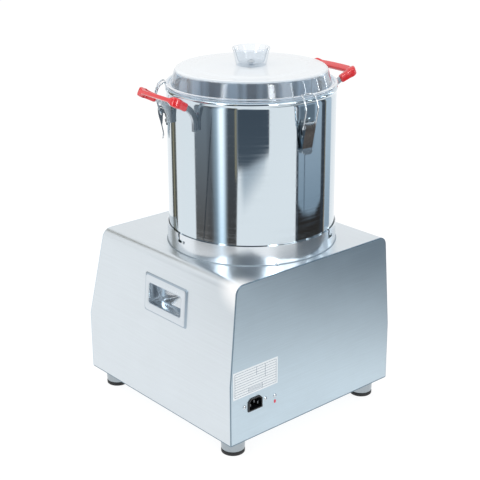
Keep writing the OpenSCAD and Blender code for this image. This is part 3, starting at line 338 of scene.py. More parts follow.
# Lathe rings on the cups catch thin upright lights, and the pads stay a dull black
foot_steel = brushed("turned foot steel", "A7B0B6", 0.3, "X", 1.2)
rubber = grained("moulded black rubber", "1B1C1E", 0.55, 1.1, 0.1)
cup_low, cup_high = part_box("foot_cups")
foot_r, foot_h, pad_bend = 0.0185, 0.028, 0.0012
pad_top, pad_r = cup_low.z, foot_r - 0.001
foot_x, foot_ys = cup_high.x - foot_r, (cup_low.y + foot_r, cup_high.y - foot_r)
cup_profile = (
    [(0, pad_top), (pad_r - 0.001, pad_top)] + bend((pad_r - 0.001, pad_top + 0.0008), 0.0008, -90, 0, 4)
    + [(foot_r - 0.0003, foot_h - 0.004)] + bend((foot_r - 0.001, foot_h - 0.0012), 0.001, 0, 90, 4)
    + [(0.012, foot_h), (0, foot_h)]
)
pad_profile = (
    [(0, 0)] + bend((pad_r - pad_bend, pad_bend), pad_bend, -90, 0, 4)
    + bend((pad_r - pad_bend, pad_top - pad_bend), pad_bend, 0, 90, 4) + [(0, pad_top)]
)
for k, spot in enumerate((x, y) for x in (-foot_x, foot_x) for y in foot_ys):
    cup, pad = turned(cup_profile, spot, 48), turned(pad_profile, spot, 48)
    surface(f"foot_cup_{k}", cup, "base", foot_steel, ["foot_cups"])
    surface(f"foot_pad_{k}", pad, "base", rubber, ["foot_pads"])


# Collar
# A band of sheet rolled to a ring and welded to the cabinet's top. Its slots hold the bowl's
# pins, and the fillet of the weld runs round its foot.

# Rolled sheet keeps its mill finish, nearly a mirror; the wire-brushed weld stays dull and grey
collar_steel = brushed("rolled collar steel", "DDE3E8", 0.2, "X", 3.0, spread=0.03)
weld_bead = grained("brushed weld bead", "8F9BA4", 0.45, 1.0, 0.1, Metallic=1.0)
band = softened("collar_band", ["bowl_collar"], "base", collar_steel, 0.3, smooth_under=25)
band.data.materials.append(weld_bead)
collar_low, weld_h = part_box("bowl_collar")[0].z, 0.0016
for face in band.data.polygons:
    face.material_index = int(face.center.z < collar_low + weld_h and 0.1 < face.normal.z < 0.95)


# Bowl
# Deep-drawn stainless with a rolled bead at its mouth, mirror-polished outside and left satin
# inside. Its pins lock it in the collar, and a tube round the shaft stands in its middle.


def polished(name, colour):
    """Mirror polish. A slow wave bends what it mirrors a little, and the wheel's level rounds
    change its gloss. They are finer than a millimetre, so they are drawn about 3 mm apart."""
    made = new_material(name)
    place = add(made, "ShaderNodeTexCoord").outputs["Object"]
    wave = add(made, "ShaderNodeTexNoise", {"Vector": place, "Scale": 9.0, "Detail": 1.0}).outputs["Fac"]
    tilt = add(made, "ShaderNodeBump", {"Height": wave, "Strength": 0.1, "Distance": 0.001}).outputs[0]
    level = add(made, "ShaderNodeMapping", {"Vector": place, "Scale": (0.03, 0.03, 1)}).outputs["Vector"]
    rounds = add(made, "ShaderNodeTexNoise", {"Vector": level, "Scale": 300.0, "Detail": 3.0}).outputs["Fac"]
    gloss = add(made, "ShaderNodeMapRange", {
        "Value": rounds, "From Min": 0.42, "From Max": 0.62, "To Min": 0.045, "To Max": 0.095}).outputs[0]
    shader = add(made, "ShaderNodeBsdfPrincipled", {
        "Base Color": linear(colour), "Metallic": 1.0, "Roughness": gloss, "Normal": tilt}).outputs[0]
    add(made, "ShaderNodeOutputMaterial", {"Surface": shader})
    return made


def banded_reflection(name, dark, light):
    """Satin metal in a round vessel with painted reflections: upright bands of two tones that follow the
    turn round the bowl's axis, as noise of that turn alone."""
    made = new_material(name)
    place = add(made, "ShaderNodeTexCoord").outputs["Object"]
    centred = add(made, "ShaderNodeMapping", {
        "Vector": place, "Location": (0, -axis[1], 0)}).outputs["Vector"]
    turn = add(made, "ShaderNodeTexGradient", {"Vector": centred}, gradient_type="RADIAL").outputs["Fac"]
    bands = add(made, "ShaderNodeTexNoise", {"W": turn, "Scale": 26.0, "Detail": 1.5},
                noise_dimensions="1D").outputs["Fac"]
    share = add(made, "ShaderNodeMapRange", {"Value": bands, "From Min": 0.42, "From Max": 0.58}).outputs[0]
    # The dark and light bands are painted reflections
    tone = add(made, "ShaderNodeMix", {"Factor": share, "A": linear(dark), "B": linear(light)},
               data_type="RGBA").outputs["Result"]
    shader = add(made, "ShaderNodeBsdfPrincipled", {
        "Base Color": tone, "Metallic": 0.35, "Roughness": 0.3}).outputs[0]
    add(made, "ShaderNodeOutputMaterial", {"Surface": shader})
    return made


axis = (0.0, (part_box("bowl_tube")[0].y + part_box("bowl_tube")[1].y) / 2)
floor_z, mouth_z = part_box("bowl_shell")[0].z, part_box("bowl_shell")[1].z
wall_r, wall_t, bead_r, tube_r, floor_bend, inner_skin = 0.1245, 0.0015, 0.003, 0.023, 0.012, 0.0014
# Outside, the room stands in it in upright stripes; inside, soft dark and light bands are painted reflections
mirror_steel = polished("mirror-polished stainless", "CDD8DF")
inner_steel_painted_bands = banded_reflection("satin bowl inside with painted reflection bands", "5F7080", "E4EEF6")
bowl_profile = (
    [(tube_r, floor_z), (wall_r - floor_bend, floor_z)]
    + bend((wall_r - floor_bend, floor_z + floor_bend), floor_bend, -90, 0, 12)
    + [(wall_r, z) for z in np.linspace(floor_z + 0.02, mouth_z - 0.0105, 24)] + [(wall_r, mouth_z - 0.0072)]
    + bend((wall_r - wall_t, mouth_z - bead_r), bead_r, -50, 180, 16)
    + [(wall_r - wall_t, z) for z in np.linspace(mouth_z - 0.008, floor_z + 0.02, 24)]
    + bend((wall_r - floor_bend, floor_z + floor_bend), floor_bend - wall_t, 0, -90, 12)
    + [(tube_r, floor_z + wall_t)]
)
bowl_body = surface("bowl_body", turned(bowl_profile, axis, 192), "bowl", mirror_steel,
                    ["bowl_shell"], round_v=True)
bowl_body.data.materials.append(inner_steel_painted_bands)
for face in bowl_body.data.polygons:
    reach = math.hypot(face.center.x, face.center.y - axis[1])
    above = floor_z + (inner_skin if reach < wall_r - floor_bend + 0.0005 else 0)
    face.material_index = int(reach < wall_r - inner_skin and face.center.z > above)
softened("bowl_inner_tube", ["bowl_tube"], "bowl", inner_steel_painted_bands)


# Lid
# Moulded clear polycarbonate: a stepped dome on a beaded flange. Washing has left it a little
# hazy; its top is painted milky white, a painted reflection of the white room, and its leaning wall lets the
# bowl show through.


def clear_plastic(name, haze, gloss, tint, rim):
    """Clear plastic. Light goes straight through and dims where the surface turns away from the
    eye; haze is the scattered share seen straight on, and on level faces seen flat it grows to
    the second haze value, a painted reflection of the white room; outward faces mirror the room."""
    made = new_material(name)
    facing = add(made, "ShaderNodeLayerWeight", {"Blend": 0.5}).outputs["Facing"]
    geometry = add(made, "ShaderNodeNewGeometry")
    rising = add(made, "ShaderNodeSeparateXYZ", {0: geometry.outputs["Normal"]}).outputs["Z"]
    # Level faces seen flat turn milky white: a painted reflection of the white room
    level = add(made, "ShaderNodeMapRange", {
        "Value": rising, "From Min": 0.25, "From Max": 0.8,
        "To Min": haze[0] * 2, "To Max": haze[1]}).outputs[0]
    haze_and_painted_sheen = add(made, "ShaderNodeMapRange", {
        "Value": facing, "From Min": 0.2, "From Max": 0.52, "To Min": haze[0], "To Max": level}).outputs[0]
    flat = add(made, "ShaderNodeMapRange", {"Value": facing, "From Min": 0.7, "From Max": 1.0}).outputs[0]
    dimmed = add(made, "ShaderNodeMix", {"Factor": flat, "A": linear(tint), "B": linear(rim)},
                 data_type="RGBA").outputs["Result"]
    through = add(made, "ShaderNodeBsdfTransparent", {"Color": dimmed}).outputs[0]
    milky = add(made, "ShaderNodeBsdfDiffuse", {"Color": linear("F6F9FB")}).outputs[0]
    body = add(made, "ShaderNodeMixShader", {0: haze_and_painted_sheen, 1: through, 2: milky}).outputs[0]
    mirror = add(made, "ShaderNodeBsdfGlossy", {"Color": linear("FFFFFF"), "Roughness": gloss}).outputs[0]
    edge = add(made, "ShaderNodeFresnel", {"IOR": 1.58}).outputs[0]
    outward = add(made, "ShaderNodeMath", {0: 1.0, 1: geometry.outputs["Backfacing"]},
                  operation="SUBTRACT").outputs[0]
    share = add(made, "ShaderNodeMath", {0: edge, 1: outward}, operation="MULTIPLY").outputs[0]
    whole = add(made, "ShaderNodeMixShader", {0: share, 1: body, 2: mirror}).outputs[0]
    add(made, "ShaderNodeOutputMaterial", {"Surface": whole})
    return made


# Clear, with the haze of many washings; where it lies level it is painted milky white, a painted reflection
# of the white room, and clear where it stands
clear = clear_plastic("moulded clear polycarbonate", (0.06, 0.8), 0.05, "F1F7FC", "8C9CAA")
screw_r, lid_top, step_r, step_h, lid_t = 0.0032, 0.5333, 0.0805, 0.0015, 0.0025
shoulder, shoulder_bend = (0.1054, 0.5248), 0.007
rim_edge, rim_bead, brim_z, lip_z = (0.1232, 0.5081), 0.0028, 0.5053, 0.4973
lid_profile = (
    [(screw_r, lid_top), (step_r, lid_top), (step_r + 0.0025, lid_top - 0.0002),
     (step_r + 0.0065, lid_top - 0.0012), (step_r + 0.009, lid_top - step_h), (0.104, lid_top - step_h)]
    + bend(shoulder, shoulder_bend, 90, 13, 12) + [(0.1176, rim_edge[1]), (0.1204, rim_edge[1] - 0.0003)]
    + bend(rim_edge, rim_bead, 170, -90, 14)
    + [(0.1221, brim_z), (0.1218, lip_z), (0.1200, lip_z), (0.1198, brim_z), (0.1155, brim_z)]
    + bend(shoulder, shoulder_bend - lid_t, 13, 90, 12) + [(screw_r, lid_top - lid_t)]
)
surface("lid_dome", turned(lid_profile, axis, 144), "lid", clear, ["lid_shell"],
        round_v=True)
# A soft white ring that shows only as a pale line through the brim
seal_rubber = grained("white silicone seal", "DCDFE0", 0.45, 1.0, 0.05)
softened("lid_lip_seal", ["lid_seal"], "lid", seal_rubber)


# Knob
# A clear cast cup, held to the middle of the lid by a screw through its floor. Its thick walls
# dim what stands behind them, most along their outlines.

# Its level faces turn a little milky too: a painted reflection of the white room
knob_clear = clear_plastic("clear cast knob", (0.05, 0.16), 0.03, "FAFCFE", "8698A6")
knob_z, knob_floor, lip_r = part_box("lid_knob")[0].z, 0.005, 0.0015
knob_profile = (
    [(screw_r, knob_z), (0.0212, knob_z), (0.022, knob_z + 0.0008), (0.0265, knob_z + 0.022)]
    + bend((0.026, knob_z + 0.023), lip_r, 0, 10, 2) + bend((0.026, knob_z + 0.0245), lip_r, 0, 150, 7)
    + [(0.0192, knob_z + knob_floor + 0.001), (0.0185, knob_z + knob_floor), (screw_r, knob_z + knob_floor)]
)
surface("knob_cup", turned(knob_profile, axis, 72), "lid", knob_clear, ["lid_knob"],
        round_v=True)


# Handles
# Two flat bars on edge, welded to the bowl, with a bar across their ends. A red silicone grip
# is moulded over the crossbar, the corners and the ends of the arms.


def swept(path, half_up, half_side, up, power=2.0, around=28):
    """A cross-section |a/half_up|^power + |b/half_side|^power = 1 carried along a path. a runs
    along up, b across both up and the path; the half sizes may change along the path."""
    ahead = np.gradient(path, axis=0)
    ahead /= np.linalg.norm(ahead, axis=1)[:, None]
    up = np.broadcast_to(np.array(up, float), path.shape)
    up = up - (up * ahead).sum(1)[:, None] * ahead
    up /= np.linalg.norm(up, axis=1)[:, None]
    aside = np.cross(ahead, up)
    t = np.linspace(0, 2 * np.pi, around, endpoint=False)
    a = np.sign(np.cos(t)) * np.abs(np.cos(t)) ** (2 / power)
    b = np.sign(np.sin(t)) * np.abs(np.sin(t)) ** (2 / power)
    a = np.outer(np.broadcast_to(half_up, len(path)), a)
    b = np.outer(np.broadcast_to(half_side, len(path)), b)
    return path[:, None] + a[:, :, None] * up[:, None] + b[:, :, None] * aside[:, None]


def capped(tube):
    """A tube of rings closed at both ends by the middle points of its first and last ring."""
    ends = np.array([tube[0].mean(0), tube[-1].mean(0)])[:, None] * np.ones((1, tube.shape[1], 1))
    return np.concatenate([ends[:1], tube, ends[1:]]).transpose(1, 0, 2)


def spun(points, angle):
    """Points turned about the bowl's axis by an angle in degrees, and moved to that axis."""
    c, s = math.cos(math.radians(angle)), math.sin(math.radians(angle))
    x, y, z = np.moveaxis(np.asarray(points, float), -1, 0)
    return np.stack([axis[0] + c * x - s * y, axis[1] + s * x + c * y, z], -1)


def eased(points, steps, per_mm):
    """A path of corner points with each corner rounded: so many rounds of cutting every corner at
    a quarter and three quarters, then resampled so many times a millimetre."""
    path = np.array(points, float)
    for _ in range(steps):
        nearer, farther = path[:-1] * 0.75 + path[1:] * 0.25, path[:-1] * 0.25 + path[1:] * 0.75
        path = np.concatenate([path[:1], np.stack([nearer, farther], 1).reshape(-1, 3), path[-1:]])
    far = np.concatenate([[0], np.cumsum(np.linalg.norm(np.diff(path, axis=0), axis=1))])
    at = np.linspace(0, far[-1], int(far[-1] * 1000 * per_mm) + 2)
    return np.stack([np.interp(at, far, path[:, k]) for k in range(3)], -1)


# Bead-blasted bars read as plain mid grey; the grips gleam, since silicone leaves its mould glossy
arm_steel = brushed("satin arm steel", "BAC2C8", 0.3, "Z", 2.0)
silicone = grained("moulded red silicone", "E00F1A", 0.3, 1.5, 0.03,
                   Coat_Weight=1.0, Coat_Roughness=0.08, Coat_IOR=1.5)
softened("handle_arm_set", ["handle_straps"], "bowl", arm_steel, 0.8)
lock_turn, handle_half, handle_r, slope = -3, math.radians(14), 0.169, math.radians(28)
arm_root_r, arm_root_z, sleeve_l = 0.14467, 0.4965, 0.0215
bar_z = arm_root_z + (handle_r - arm_root_r) * math.tan(slope)
sleeve_r, sleeve_z = handle_r - sleeve_l, bar_z - sleeve_l * math.tan(slope)
corner = np.array([handle_r * math.cos(handle_half), handle_r * math.sin(handle_half), bar_z])
sleeve = np.array([sleeve_r * math.cos(handle_half), sleeve_r * math.sin(handle_half), sleeve_z])
other = np.array([1, -1, 1])
inward, across = (corner - sleeve) / np.linalg.norm(corner - sleeve), np.array([0, 1, 0])
knuckle = corner + 0.0012 * inward + 0.0012 * across
half_path = [sleeve, knuckle - 0.005 * inward, knuckle - 0.004 * across]
grip_path = eased(half_path + [point * other for point in reversed(half_path)], 3, 1.2)
run = np.concatenate([[0], np.cumsum(np.linalg.norm(np.diff(grip_path, axis=0), axis=1))])
run = np.minimum(run, run[-1] - run)
# Half sizes along the grip: a rounded end, the sleeve, the thick knuckle and the flat crossbar
bent = np.linalg.norm(corner - sleeve) - 0.003
marks = [0, 0.0008, 0.0025, bent - 0.008, bent - 0.001, bent + 0.003, bent + 0.010, 1]
half_up = np.interp(run, marks, [0.0042, 0.0054, 0.0060, 0.0062, 0.0070, 0.0068, 0.0031, 0.0029])
half_side = np.interp(run, marks, [0.0022, 0.0036, 0.0042, 0.0047, 0.0062, 0.0064, 0.0060, 0.0060])
grip = capped(swept(grip_path, half_up, half_side, (-math.sin(slope), 0, math.cos(slope)), 4.5))
for k, turn in enumerate((0, 180)):
    surface(f"grip_{k}", spun(grip, lock_turn + turn), "bowl", silicone, ["handle_grips"])


# Latches
# A bracket welded to the bowl, a pressed lever with a thumb tab and a sprung wire that hooks
# over the lid's bead. Stamped stainless, barrel-polished.

# Barrel polish gives small hard highlights on bright edges; the lever's outward face is painted brown-grey, a
# painted reflection of the room
latch_steel = brushed("barrel-polished latch steel", "CBD1D5", 0.14, "Z", 2.0)
wire_steel = brushed("drawn spring wire", "D3D8DC", 0.16, "Z", 2.0)
lever_painted_reflection = brushed("lever plate painted brown-grey", "8E847D", 0.25, "Z", 2.0)
softened("latch_bracket_set", ["latch_brackets"], "bowl", latch_steel, 0.25)
softened("rivet_set", ["bowl_rivets"], "bowl", latch_steel)
softened("lock_pin_set", ["lock_pins"], "bowl", latch_steel, 0.3)
eye_r, eye_z, hook_r, hook_z, bulge_r = 0.1322, 0.4655, 0.12524, 0.51194, 0.140
half, eye_half, wire_r, thumb_h = 0.0105, 0.0073, 0.00122, 0.0085
rise = hook_z - eye_z
# Half the wire: from its eye in the lever, out over the lid's flange, and in to the hook
one_side = [(eye_r, eye_half, eye_z), (eye_r, half, eye_z), (eye_r + 0.0026, half, eye_z + 0.14 * rise),
            (bulge_r - 0.003, half, eye_z + 0.36 * rise), (bulge_r, half, eye_z + 0.6 * rise),
            (bulge_r - 0.003, half, eye_z + 0.79 * rise), (hook_r + 0.009, half, hook_z - 0.004),
            (hook_r + 0.0034, half, hook_z + 0.0006), (hook_r, half - 0.0025, hook_z)]
wire_path = eased(one_side + [(x, -y, z) for x, y, z in reversed(one_side)], 3, 1.0)
ahead = np.gradient(wire_path, axis=0)
loop_up = np.cross(ahead, (0.3, 0.0, 1.0))
loop_up[np.abs(ahead[:, 1]) > np.abs(ahead[:, 2])] = (0.3, 0.0, 1.0)
wire = capped(swept(wire_path, wire_r, wire_r, loop_up, 2.0, 16))
for k, turn in enumerate((85, 205, 325), 1):
    lever = softened(f"latch_plate_{k}", [f"latch_lever_{k}"], f"lever_{k}", latch_steel, 0.3)
    lever.data.materials.append(lever_painted_reflection)
    foot_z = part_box(f"latch_lever_{k}")[0].z
    out_of_bowl = Vector((math.cos(math.radians(turn)), math.sin(math.radians(turn)), 0))
    # Faces turned out of the bowl above the thumb tab take the painted reflection colour
    for face in lever.data.polygons:
        plate = face.center.z > foot_z + thumb_h and face.normal.dot(out_of_bowl) > 0.9
        face.material_index = int(plate)
    surface(f"latch_wire_{k}", spun(wire, turn), f"bail_{k}", wire_steel, [f"latch_bail_{k}"],
            smooth_under=60)


# Power inlet
# Black moulded nylon, snapped through the back panel and held by two screws, with three flat
# nickel-plated pins inside its mouth.

# Fine mould grain keeps the nylon's lights soft; the pins are dull from plugging
nylon = grained("moulded black nylon", "14171B", 0.3, 1.2, 0.04)
pin_nickel = brushed("dull nickel pins", "6E7276", 0.35, "Z", 2.0)
softened("inlet_moulding", ["inlet_body"], "base", nylon, 0.3)
softened("inlet_pin_set", ["inlet_pins"], "base", pin_nickel, 0.2)
softened("back_screw_set", ["back_screws"], "base", latch_steel)


# Rating plate and earth mark
# A white printed plate stuck to the back, shown without its words: a ruled table only. Below
# the earth screw sits a small red dot.

# Printed film: an even white with thin ink lines that nearly merge at this distance
label_white = grained("white label stock", "F1F6F9", 0.4, 1.5, 0.01)
rule_ink = grained("grey-blue rule ink", "7D90A0", 0.5, 1.5, 0.01)
red_ink = grained("red earth mark", "E2475A", 0.4, 1.5, 0.01)
plate_x, plate_z, border, rule = (0.0735, 0.158), (0.0995, 0.1415), 0.003, 0.0005
slab("rating_plate", (plate_x[0], back_y - 0.0002, plate_z[0]), (plate_x[1], back_y + 0.0003, plate_z[1]),
     "base", label_white)
table_left, table_top = plate_x[1] - border, plate_z[1] - border
table_w, table_h = plate_x[1] - plate_x[0] - 2 * border, plate_z[1] - plate_z[0] - 2 * border
# Each rule as shares of the table's width and height: left, right, top, bottom
rules = [(0.0, 1.0, k / 9, k / 9) for k in range(10)] + [(0.0, 0.0, 0.0, 1.0), (1.0, 1.0, 0.0, 1.0)]
rules += [(0.52, 0.52, 0.0, 0.33), (0.73, 0.73, 0.0, 0.56), (0.33, 0.33, 0.78, 1.0), (0.66, 0.66, 0.78, 1.0)]
rules += [(0.35, 0.64, share, share) for share in (0.83, 0.94)]
for k, (left, right, top, bottom) in enumerate(rules):
    low = (table_left - right * table_w - rule / 2, back_y, table_top - bottom * table_h - rule / 2)
    high = (table_left - left * table_w + rule / 2, back_y + 0.00045, table_top - top * table_h + rule / 2)
    slab(f"plate_rule_{k}", low, high, "base", rule_ink)
dot = turned([(0, 0), (0.0018, 0), (0.002, 0.0002), (0.0018, 0.0004), (0, 0.0004)], (0, 0), 32)
dot = np.stack([dot[..., 0] + 0.0785, dot[..., 2] + back_y - 0.00005, dot[..., 1] * 1.5 + 0.0712], -1)
surface("earth_mark", dot, "base", red_ink)


# Controls
# Two push buttons with moulded caps in turned bezels, and a fluted black knob, all fixed through
# holes in the leaning front.

# Polished moulds leave the caps glossy, so each carries one small light
start_green = grained("glossy green button", "178A3C", 0.25, 1.5, 0.01, Coat_Weight=0.4)
stop_red = grained("glossy red button", "C01818", 0.25, 1.5, 0.01, Coat_Weight=0.4)
softened("bezel_pair", ["button_bezels"], "base", latch_steel, 0.3)
softened("start_cap", ["start_button"], "start_button", start_green, 0.5)
softened("stop_cap", ["stop_button"], "stop_button", stop_red, 0.5)
softened("speed_dial", ["speed_knob"], "speed_knob", nylon, 0.4)


# Blades
# Two S-shaped blades of hardened stainless with ground edges, clamped one above the other on a
# turned hub by a nut.

# Grinding leaves fine straight lines that flash when the blades turn
ground_steel = brushed("ground blade steel", "D5DBDF", 0.2, "X", 1.5, spread=0.04)
for node in ("blade_hub", "blade_spacer", "blade_nut", "blade_lower", "blade_upper"):
    softened(f"{node}_ground", [node], "rotor", ground_steel)


# Drive and insides
# What no one sees with the lid on keeps its CAD shape and gets the finish of its kind: painted
# castings, stacked laminations, enamelled windings, machined and plated steel, a lacquered board.


def layered(name, first, second, layer_mm, metallic, roughness):
    """Two colours in flat layers, a pair in each layer_mm, blurred a little by noise. A wave of
    scale s repeats every 314 / s mm. Real sheets and wires are thinner than can show, so the
    layers are drawn coarser."""
    made = new_material(name)
    place = add(made, "ShaderNodeTexCoord").outputs["Object"]
    bands = add(made, "ShaderNodeTexWave", {
        "Vector": place, "Scale": 314 / layer_mm, "Distortion": 0.6, "Detail": 1.0},
        bands_direction="Z").outputs["Fac"]
    colour = add(made, "ShaderNodeMix", {"Factor": bands, "A": linear(first), "B": linear(second)},
                 data_type="RGBA").outputs["Result"]
    tilt = add(made, "ShaderNodeBump", {"Height": bands, "Strength": 0.3, "Distance": 0.0002}).outputs[0]
    shader = add(made, "ShaderNodeBsdfPrincipled", {
        "Base Color": colour, "Metallic": metallic, "Roughness": roughness, "Normal": tilt}).outputs[0]
    add(made, "ShaderNodeOutputMaterial", {"Surface": shader})
    return made


# Plain finishes, since only an opened machine shows them: dull castings, banded cores, bright zinc
finishes = {
    "cabinet_steel": panel_steel_painted_shade, "collar_steel": collar_steel, "mirror_steel": inner_steel_painted_bands,
    "rubber_black": rubber, "plastic_black": nylon, "handle_steel": arm_steel, "grip_red": silicone,
    "clear_plastic": clear, "seal_white": seal_rubber, "latch_steel": latch_steel,
    "button_green": start_green, "button_red": stop_red, "blade_steel": ground_steel,
    "bright_zinc": brushed("bright zinc plate", "C9CED2", 0.22, "Z", 2.0),
    "plate_steel": brushed("machined steel", "A9AEB2", 0.32, "X", 1.5),
    "motor_paint": grained("sprayed machine paint", "4A5F70", 0.4, 1.5, 0.08),
    "core_steel": layered("stacked laminations", "6C7074", "8C9094", 1.5, 1.0, 0.4),
    "copper": layered("enamelled windings", "A5572B", "C9773F", 1.2, 0.8, 0.3),
    "capacitor_shell": brushed("drawn aluminium can", "C4C6C8", 0.3, "Y", 1.5),
    "board_green": grained("lacquered circuit board", "1F6B3A", 0.35, 2.0, 0.05),
}
for part in frame["record"]["subparts"]:
    data = frame["nodes"][part["node"]].data
    data.materials.clear()
    data.materials.append(finishes[part["material_slot"]])


# Studio
# White paper under an even white sky, with two soft lamps. Cards round the bowl stand for the posts,
# the window and the lamps that its steel mirrors. The camera is where the photographer stood.

floor_mesh = bpy.data.meshes.new("studio_floor")
floor_mesh.from_pydata([(-9, -9, 0), (9, -9, 0), (9, 9, 0), (-9, 9, 0)], [], [(0, 1, 2, 3)])
studio_floor = bpy.data.objects.new("studio_floor", floor_mesh)
bpy.context.scene.collection.objects.link(studio_floor)
paper = new_material("white studio paper")
path = add(paper, "ShaderNodeLightPath")
# The camera and the mirrors see the paper glow nearly white; to every other ray it is plain paper
seen = add(paper, "ShaderNodeMath", {0: path.outputs["Is Camera Ray"], 1: path.outputs["Is Glossy Ray"]},
           operation="MAXIMUM").outputs[0]
paper_diffuse = add(paper, "ShaderNodeBsdfDiffuse", {"Color": linear("F2F3F4")}).outputs[0]
paper_soft = add(paper, "ShaderNodeBsdfDiffuse", {"Color": linear("7A7B7C")}).outputs[0]
paper_glow = add(paper, "ShaderNodeEmission", {"Color": linear("FFFFFF"), "Strength": 0.88}).outputs[0]
paper_bright = add(paper, "ShaderNodeAddShader", {0: paper_soft, 1: paper_glow}).outputs[0]
paper_shader = add(paper, "ShaderNodeMixShader", {0: seen, 1: paper_diffuse, 2: paper_bright}).outputs[0]
add(paper, "ShaderNodeOutputMaterial", {"Surface": paper_shader})
floor_mesh.materials.append(paper)


def sheet(name, points, cover, rise, colours, strength=1.0, fade="SMOOTHSTEP"):
    """A grid of points as a glowing sheet that only mirrors see. It is whole where cover is 1 and
    gone where it is 0, and goes from the first colour to the second as rise goes from 0 to 1."""
    rows, columns = points.shape[:2]
    first = (np.arange(rows - 1)[:, None] * columns + np.arange(columns - 1)).reshape(-1, 1)
    quads = first + np.array([0, columns, columns + 1, 1])
    mesh = bpy.data.meshes.new(name)
    mesh.from_pydata(points.reshape(-1, 3).tolist(), [], quads.tolist())
    for layer, values in (("cover", cover), ("rise", rise)):
        mesh.attributes.new(layer, "FLOAT", "POINT")
        mesh.attributes[layer].data.foreach_set("value", values.astype(np.float32).ravel())
    cloth = new_material(f"{name} cloth")
    kept = add(cloth, "ShaderNodeAttribute", attribute_name="cover").outputs["Fac"]
    kept = add(cloth, "ShaderNodeMapRange", {"Value": kept}, interpolation_type=fade).outputs[0]
    up = add(cloth, "ShaderNodeAttribute", attribute_name="rise").outputs["Fac"]
    colour = add(cloth, "ShaderNodeMix", {"Factor": up, "A": linear(colours[0]), "B": linear(colours[1])},
                 data_type="RGBA").outputs["Result"]
    gone = add(cloth, "ShaderNodeBsdfTransparent").outputs[0]
    tone = add(cloth, "ShaderNodeEmission", {"Color": colour, "Strength": strength}).outputs[0]
    shader = add(cloth, "ShaderNodeMixShader", {0: kept, 1: gone, 2: tone}).outputs[0]
    add(cloth, "ShaderNodeOutputMaterial", {"Surface": shader})
    mesh.materials.append(cloth)
    made = bpy.data.objects.new(name, mesh)
    bpy.context.scene.collection.objects.link(made)
    made.visible_camera = made.visible_diffuse = made.visible_shadow = made.visible_transmission = False


def card(name, foot, lows, highs, colours, feather, strength=1.0, lift=0.03, radius=0.9, head=None):
    """A card on a circle round the bowl, between two compass angles at its foot and two at
    head_height. Its foot and top follow the heights in lows and highs. It thins out over feather
    degrees at the sides and lift metres at the foot and top, but not where it stands on the floor."""
    across, up = np.meshgrid(np.linspace(0, 1, 60), np.linspace(0, 1, 40), indexing="ij")
    bottom = np.interp(across, np.linspace(0, 1, len(lows)), lows)
    top = np.interp(across, np.linspace(0, 1, len(highs)), highs)
    height = bottom + up * (top - bottom)
    rise = np.clip(height / head_height, 0, 1)
    start, end = (a + (b - a) * rise for a, b in zip(foot, head or foot))
    angle = start + across * (end - start)
    x, y = radius * np.cos(np.radians(angle)), axis[1] + radius * np.sin(np.radians(angle))
    sides = np.clip(np.minimum(angle - start, end - angle) / feather, 0, 1)
    levels = np.clip(np.minimum(height - bottom + (bottom < 0.01), top - height) / lift, 0, 1)
    sheet(name, np.stack([x, y, height], -1), sides * levels, rise, colours, strength)


floor, tall, head_height = (0,), (1.3,), 0.3
# Far to the left, beyond the bowl: a post and its light trim
card("left_post", (-85, -66), floor, tall, ("5A5A54", "6A6A62"), 3)
card("left_trim", (-78, -73), floor, tall, ("A39A80", "A39A80"), 2, radius=0.89)
# Left of the camera: a dark wall with cables and a post, and the bright streak of a lamp
card("front_wall", (-29, 30), floor, tall, ("625C58", "828B93"), 1.5, head=(-29, 34))
card("front_dark", (-12, 2), floor, tall, ("54504E", "6E767E"), 8, radius=0.89)
card("front_cable", (-17.5, -15.5), floor, (0.31,), ("33373C", "3A4048"), 0.8, radius=0.88, head=(-2, 0))
card("front_cord", (7, 8.5), (0.05,), (0.17,), ("3C3A39", "3C3A39"), 0.8, radius=0.88, head=(-16, -14.5))
card("front_post", (18, 30), floor, tall, ("4B4643", "565E66"), 2, radius=0.89, head=(18, 31))
card("front_trim", (27.5, 31), (0.155,), tall, ("86806F", "9A927C"), 1.2, radius=0.86)
card("gleam_glow", (-4, 20), floor, tall, ("93A6B4", "B9CCDA"), 11, radius=0.875)
card("gleam", (3.5, 18.5), floor, tall, ("C2D6E4", "F6FAFD"), 7, 1.7, radius=0.865)
# Behind the camera: a window over a pale veil
card("window", (31, 71), (0.165, 0.17, 0.185, 0.2), tall, ("5E6872", "4C5762"), 1.5, lift=0.022, radius=0.89)
card("window_veil", (32, 72), (0.05, 0.08, 0.12, 0.17), (0.26,), ("C4CDD5", "C4CDD5"), 8, lift=0.09)
# Right of the bowl: a wall with a low dark bench, ribs and a post, then glass
card("right_wall", (107, 162), (0.02,), tall, ("8296A6", "B4C4D2"), 2, lift=0.04)
card("right_glass", (160, 178), floor, tall, ("A0B2C0", "CBDAE6"), 2, lift=0.04)
card("right_low", (106, 160), floor, (0.11, 0.08, 0.07, 0.07, 0.09, 0.16), ("322E2B", "3B3D42"), 1,
     lift=0.018, radius=0.89)
card("right_edge", (106, 110.5), floor, tall, ("4A4C50", "5C656E"), 1.2, radius=0.88)
card("right_shade", (109, 138), (0.2,), tall, ("8296A6", "6E7C88"), 4, lift=0.06, radius=0.88)
card("right_rib", (118, 120.5), (0.06,), tall, ("6F8190", "6A7884"), 1.0, radius=0.87)
card("right_post", (149, 161), floor, tall, ("3A3E44", "4A5058"), 2.5, radius=0.88)
card("right_trim", (157.5, 160.5), floor, tall, ("8E7C62", "8A8678"), 1.2, radius=0.87)
# Higher up, all round: the lamps that draw the bright lines on the lid
lamp_foot, lamp_white = (0.42,), ("F2F8FC", "F2F8FC")
card("lid_gleam", (5, 17), lamp_foot, (1.0,), lamp_white, 6, 9.0, radius=0.86)
card("lid_lamp", (69, 82), lamp_foot, (1.0,), lamp_white, 5, 16.0, radius=0.86)
for k, angle in enumerate((105, 126, 152, 174)):
    card(f"lid_bar_{k}", (angle - 1, angle + 1), lamp_foot, (0.9,), lamp_white, 0.8, 13.0, radius=0.86)
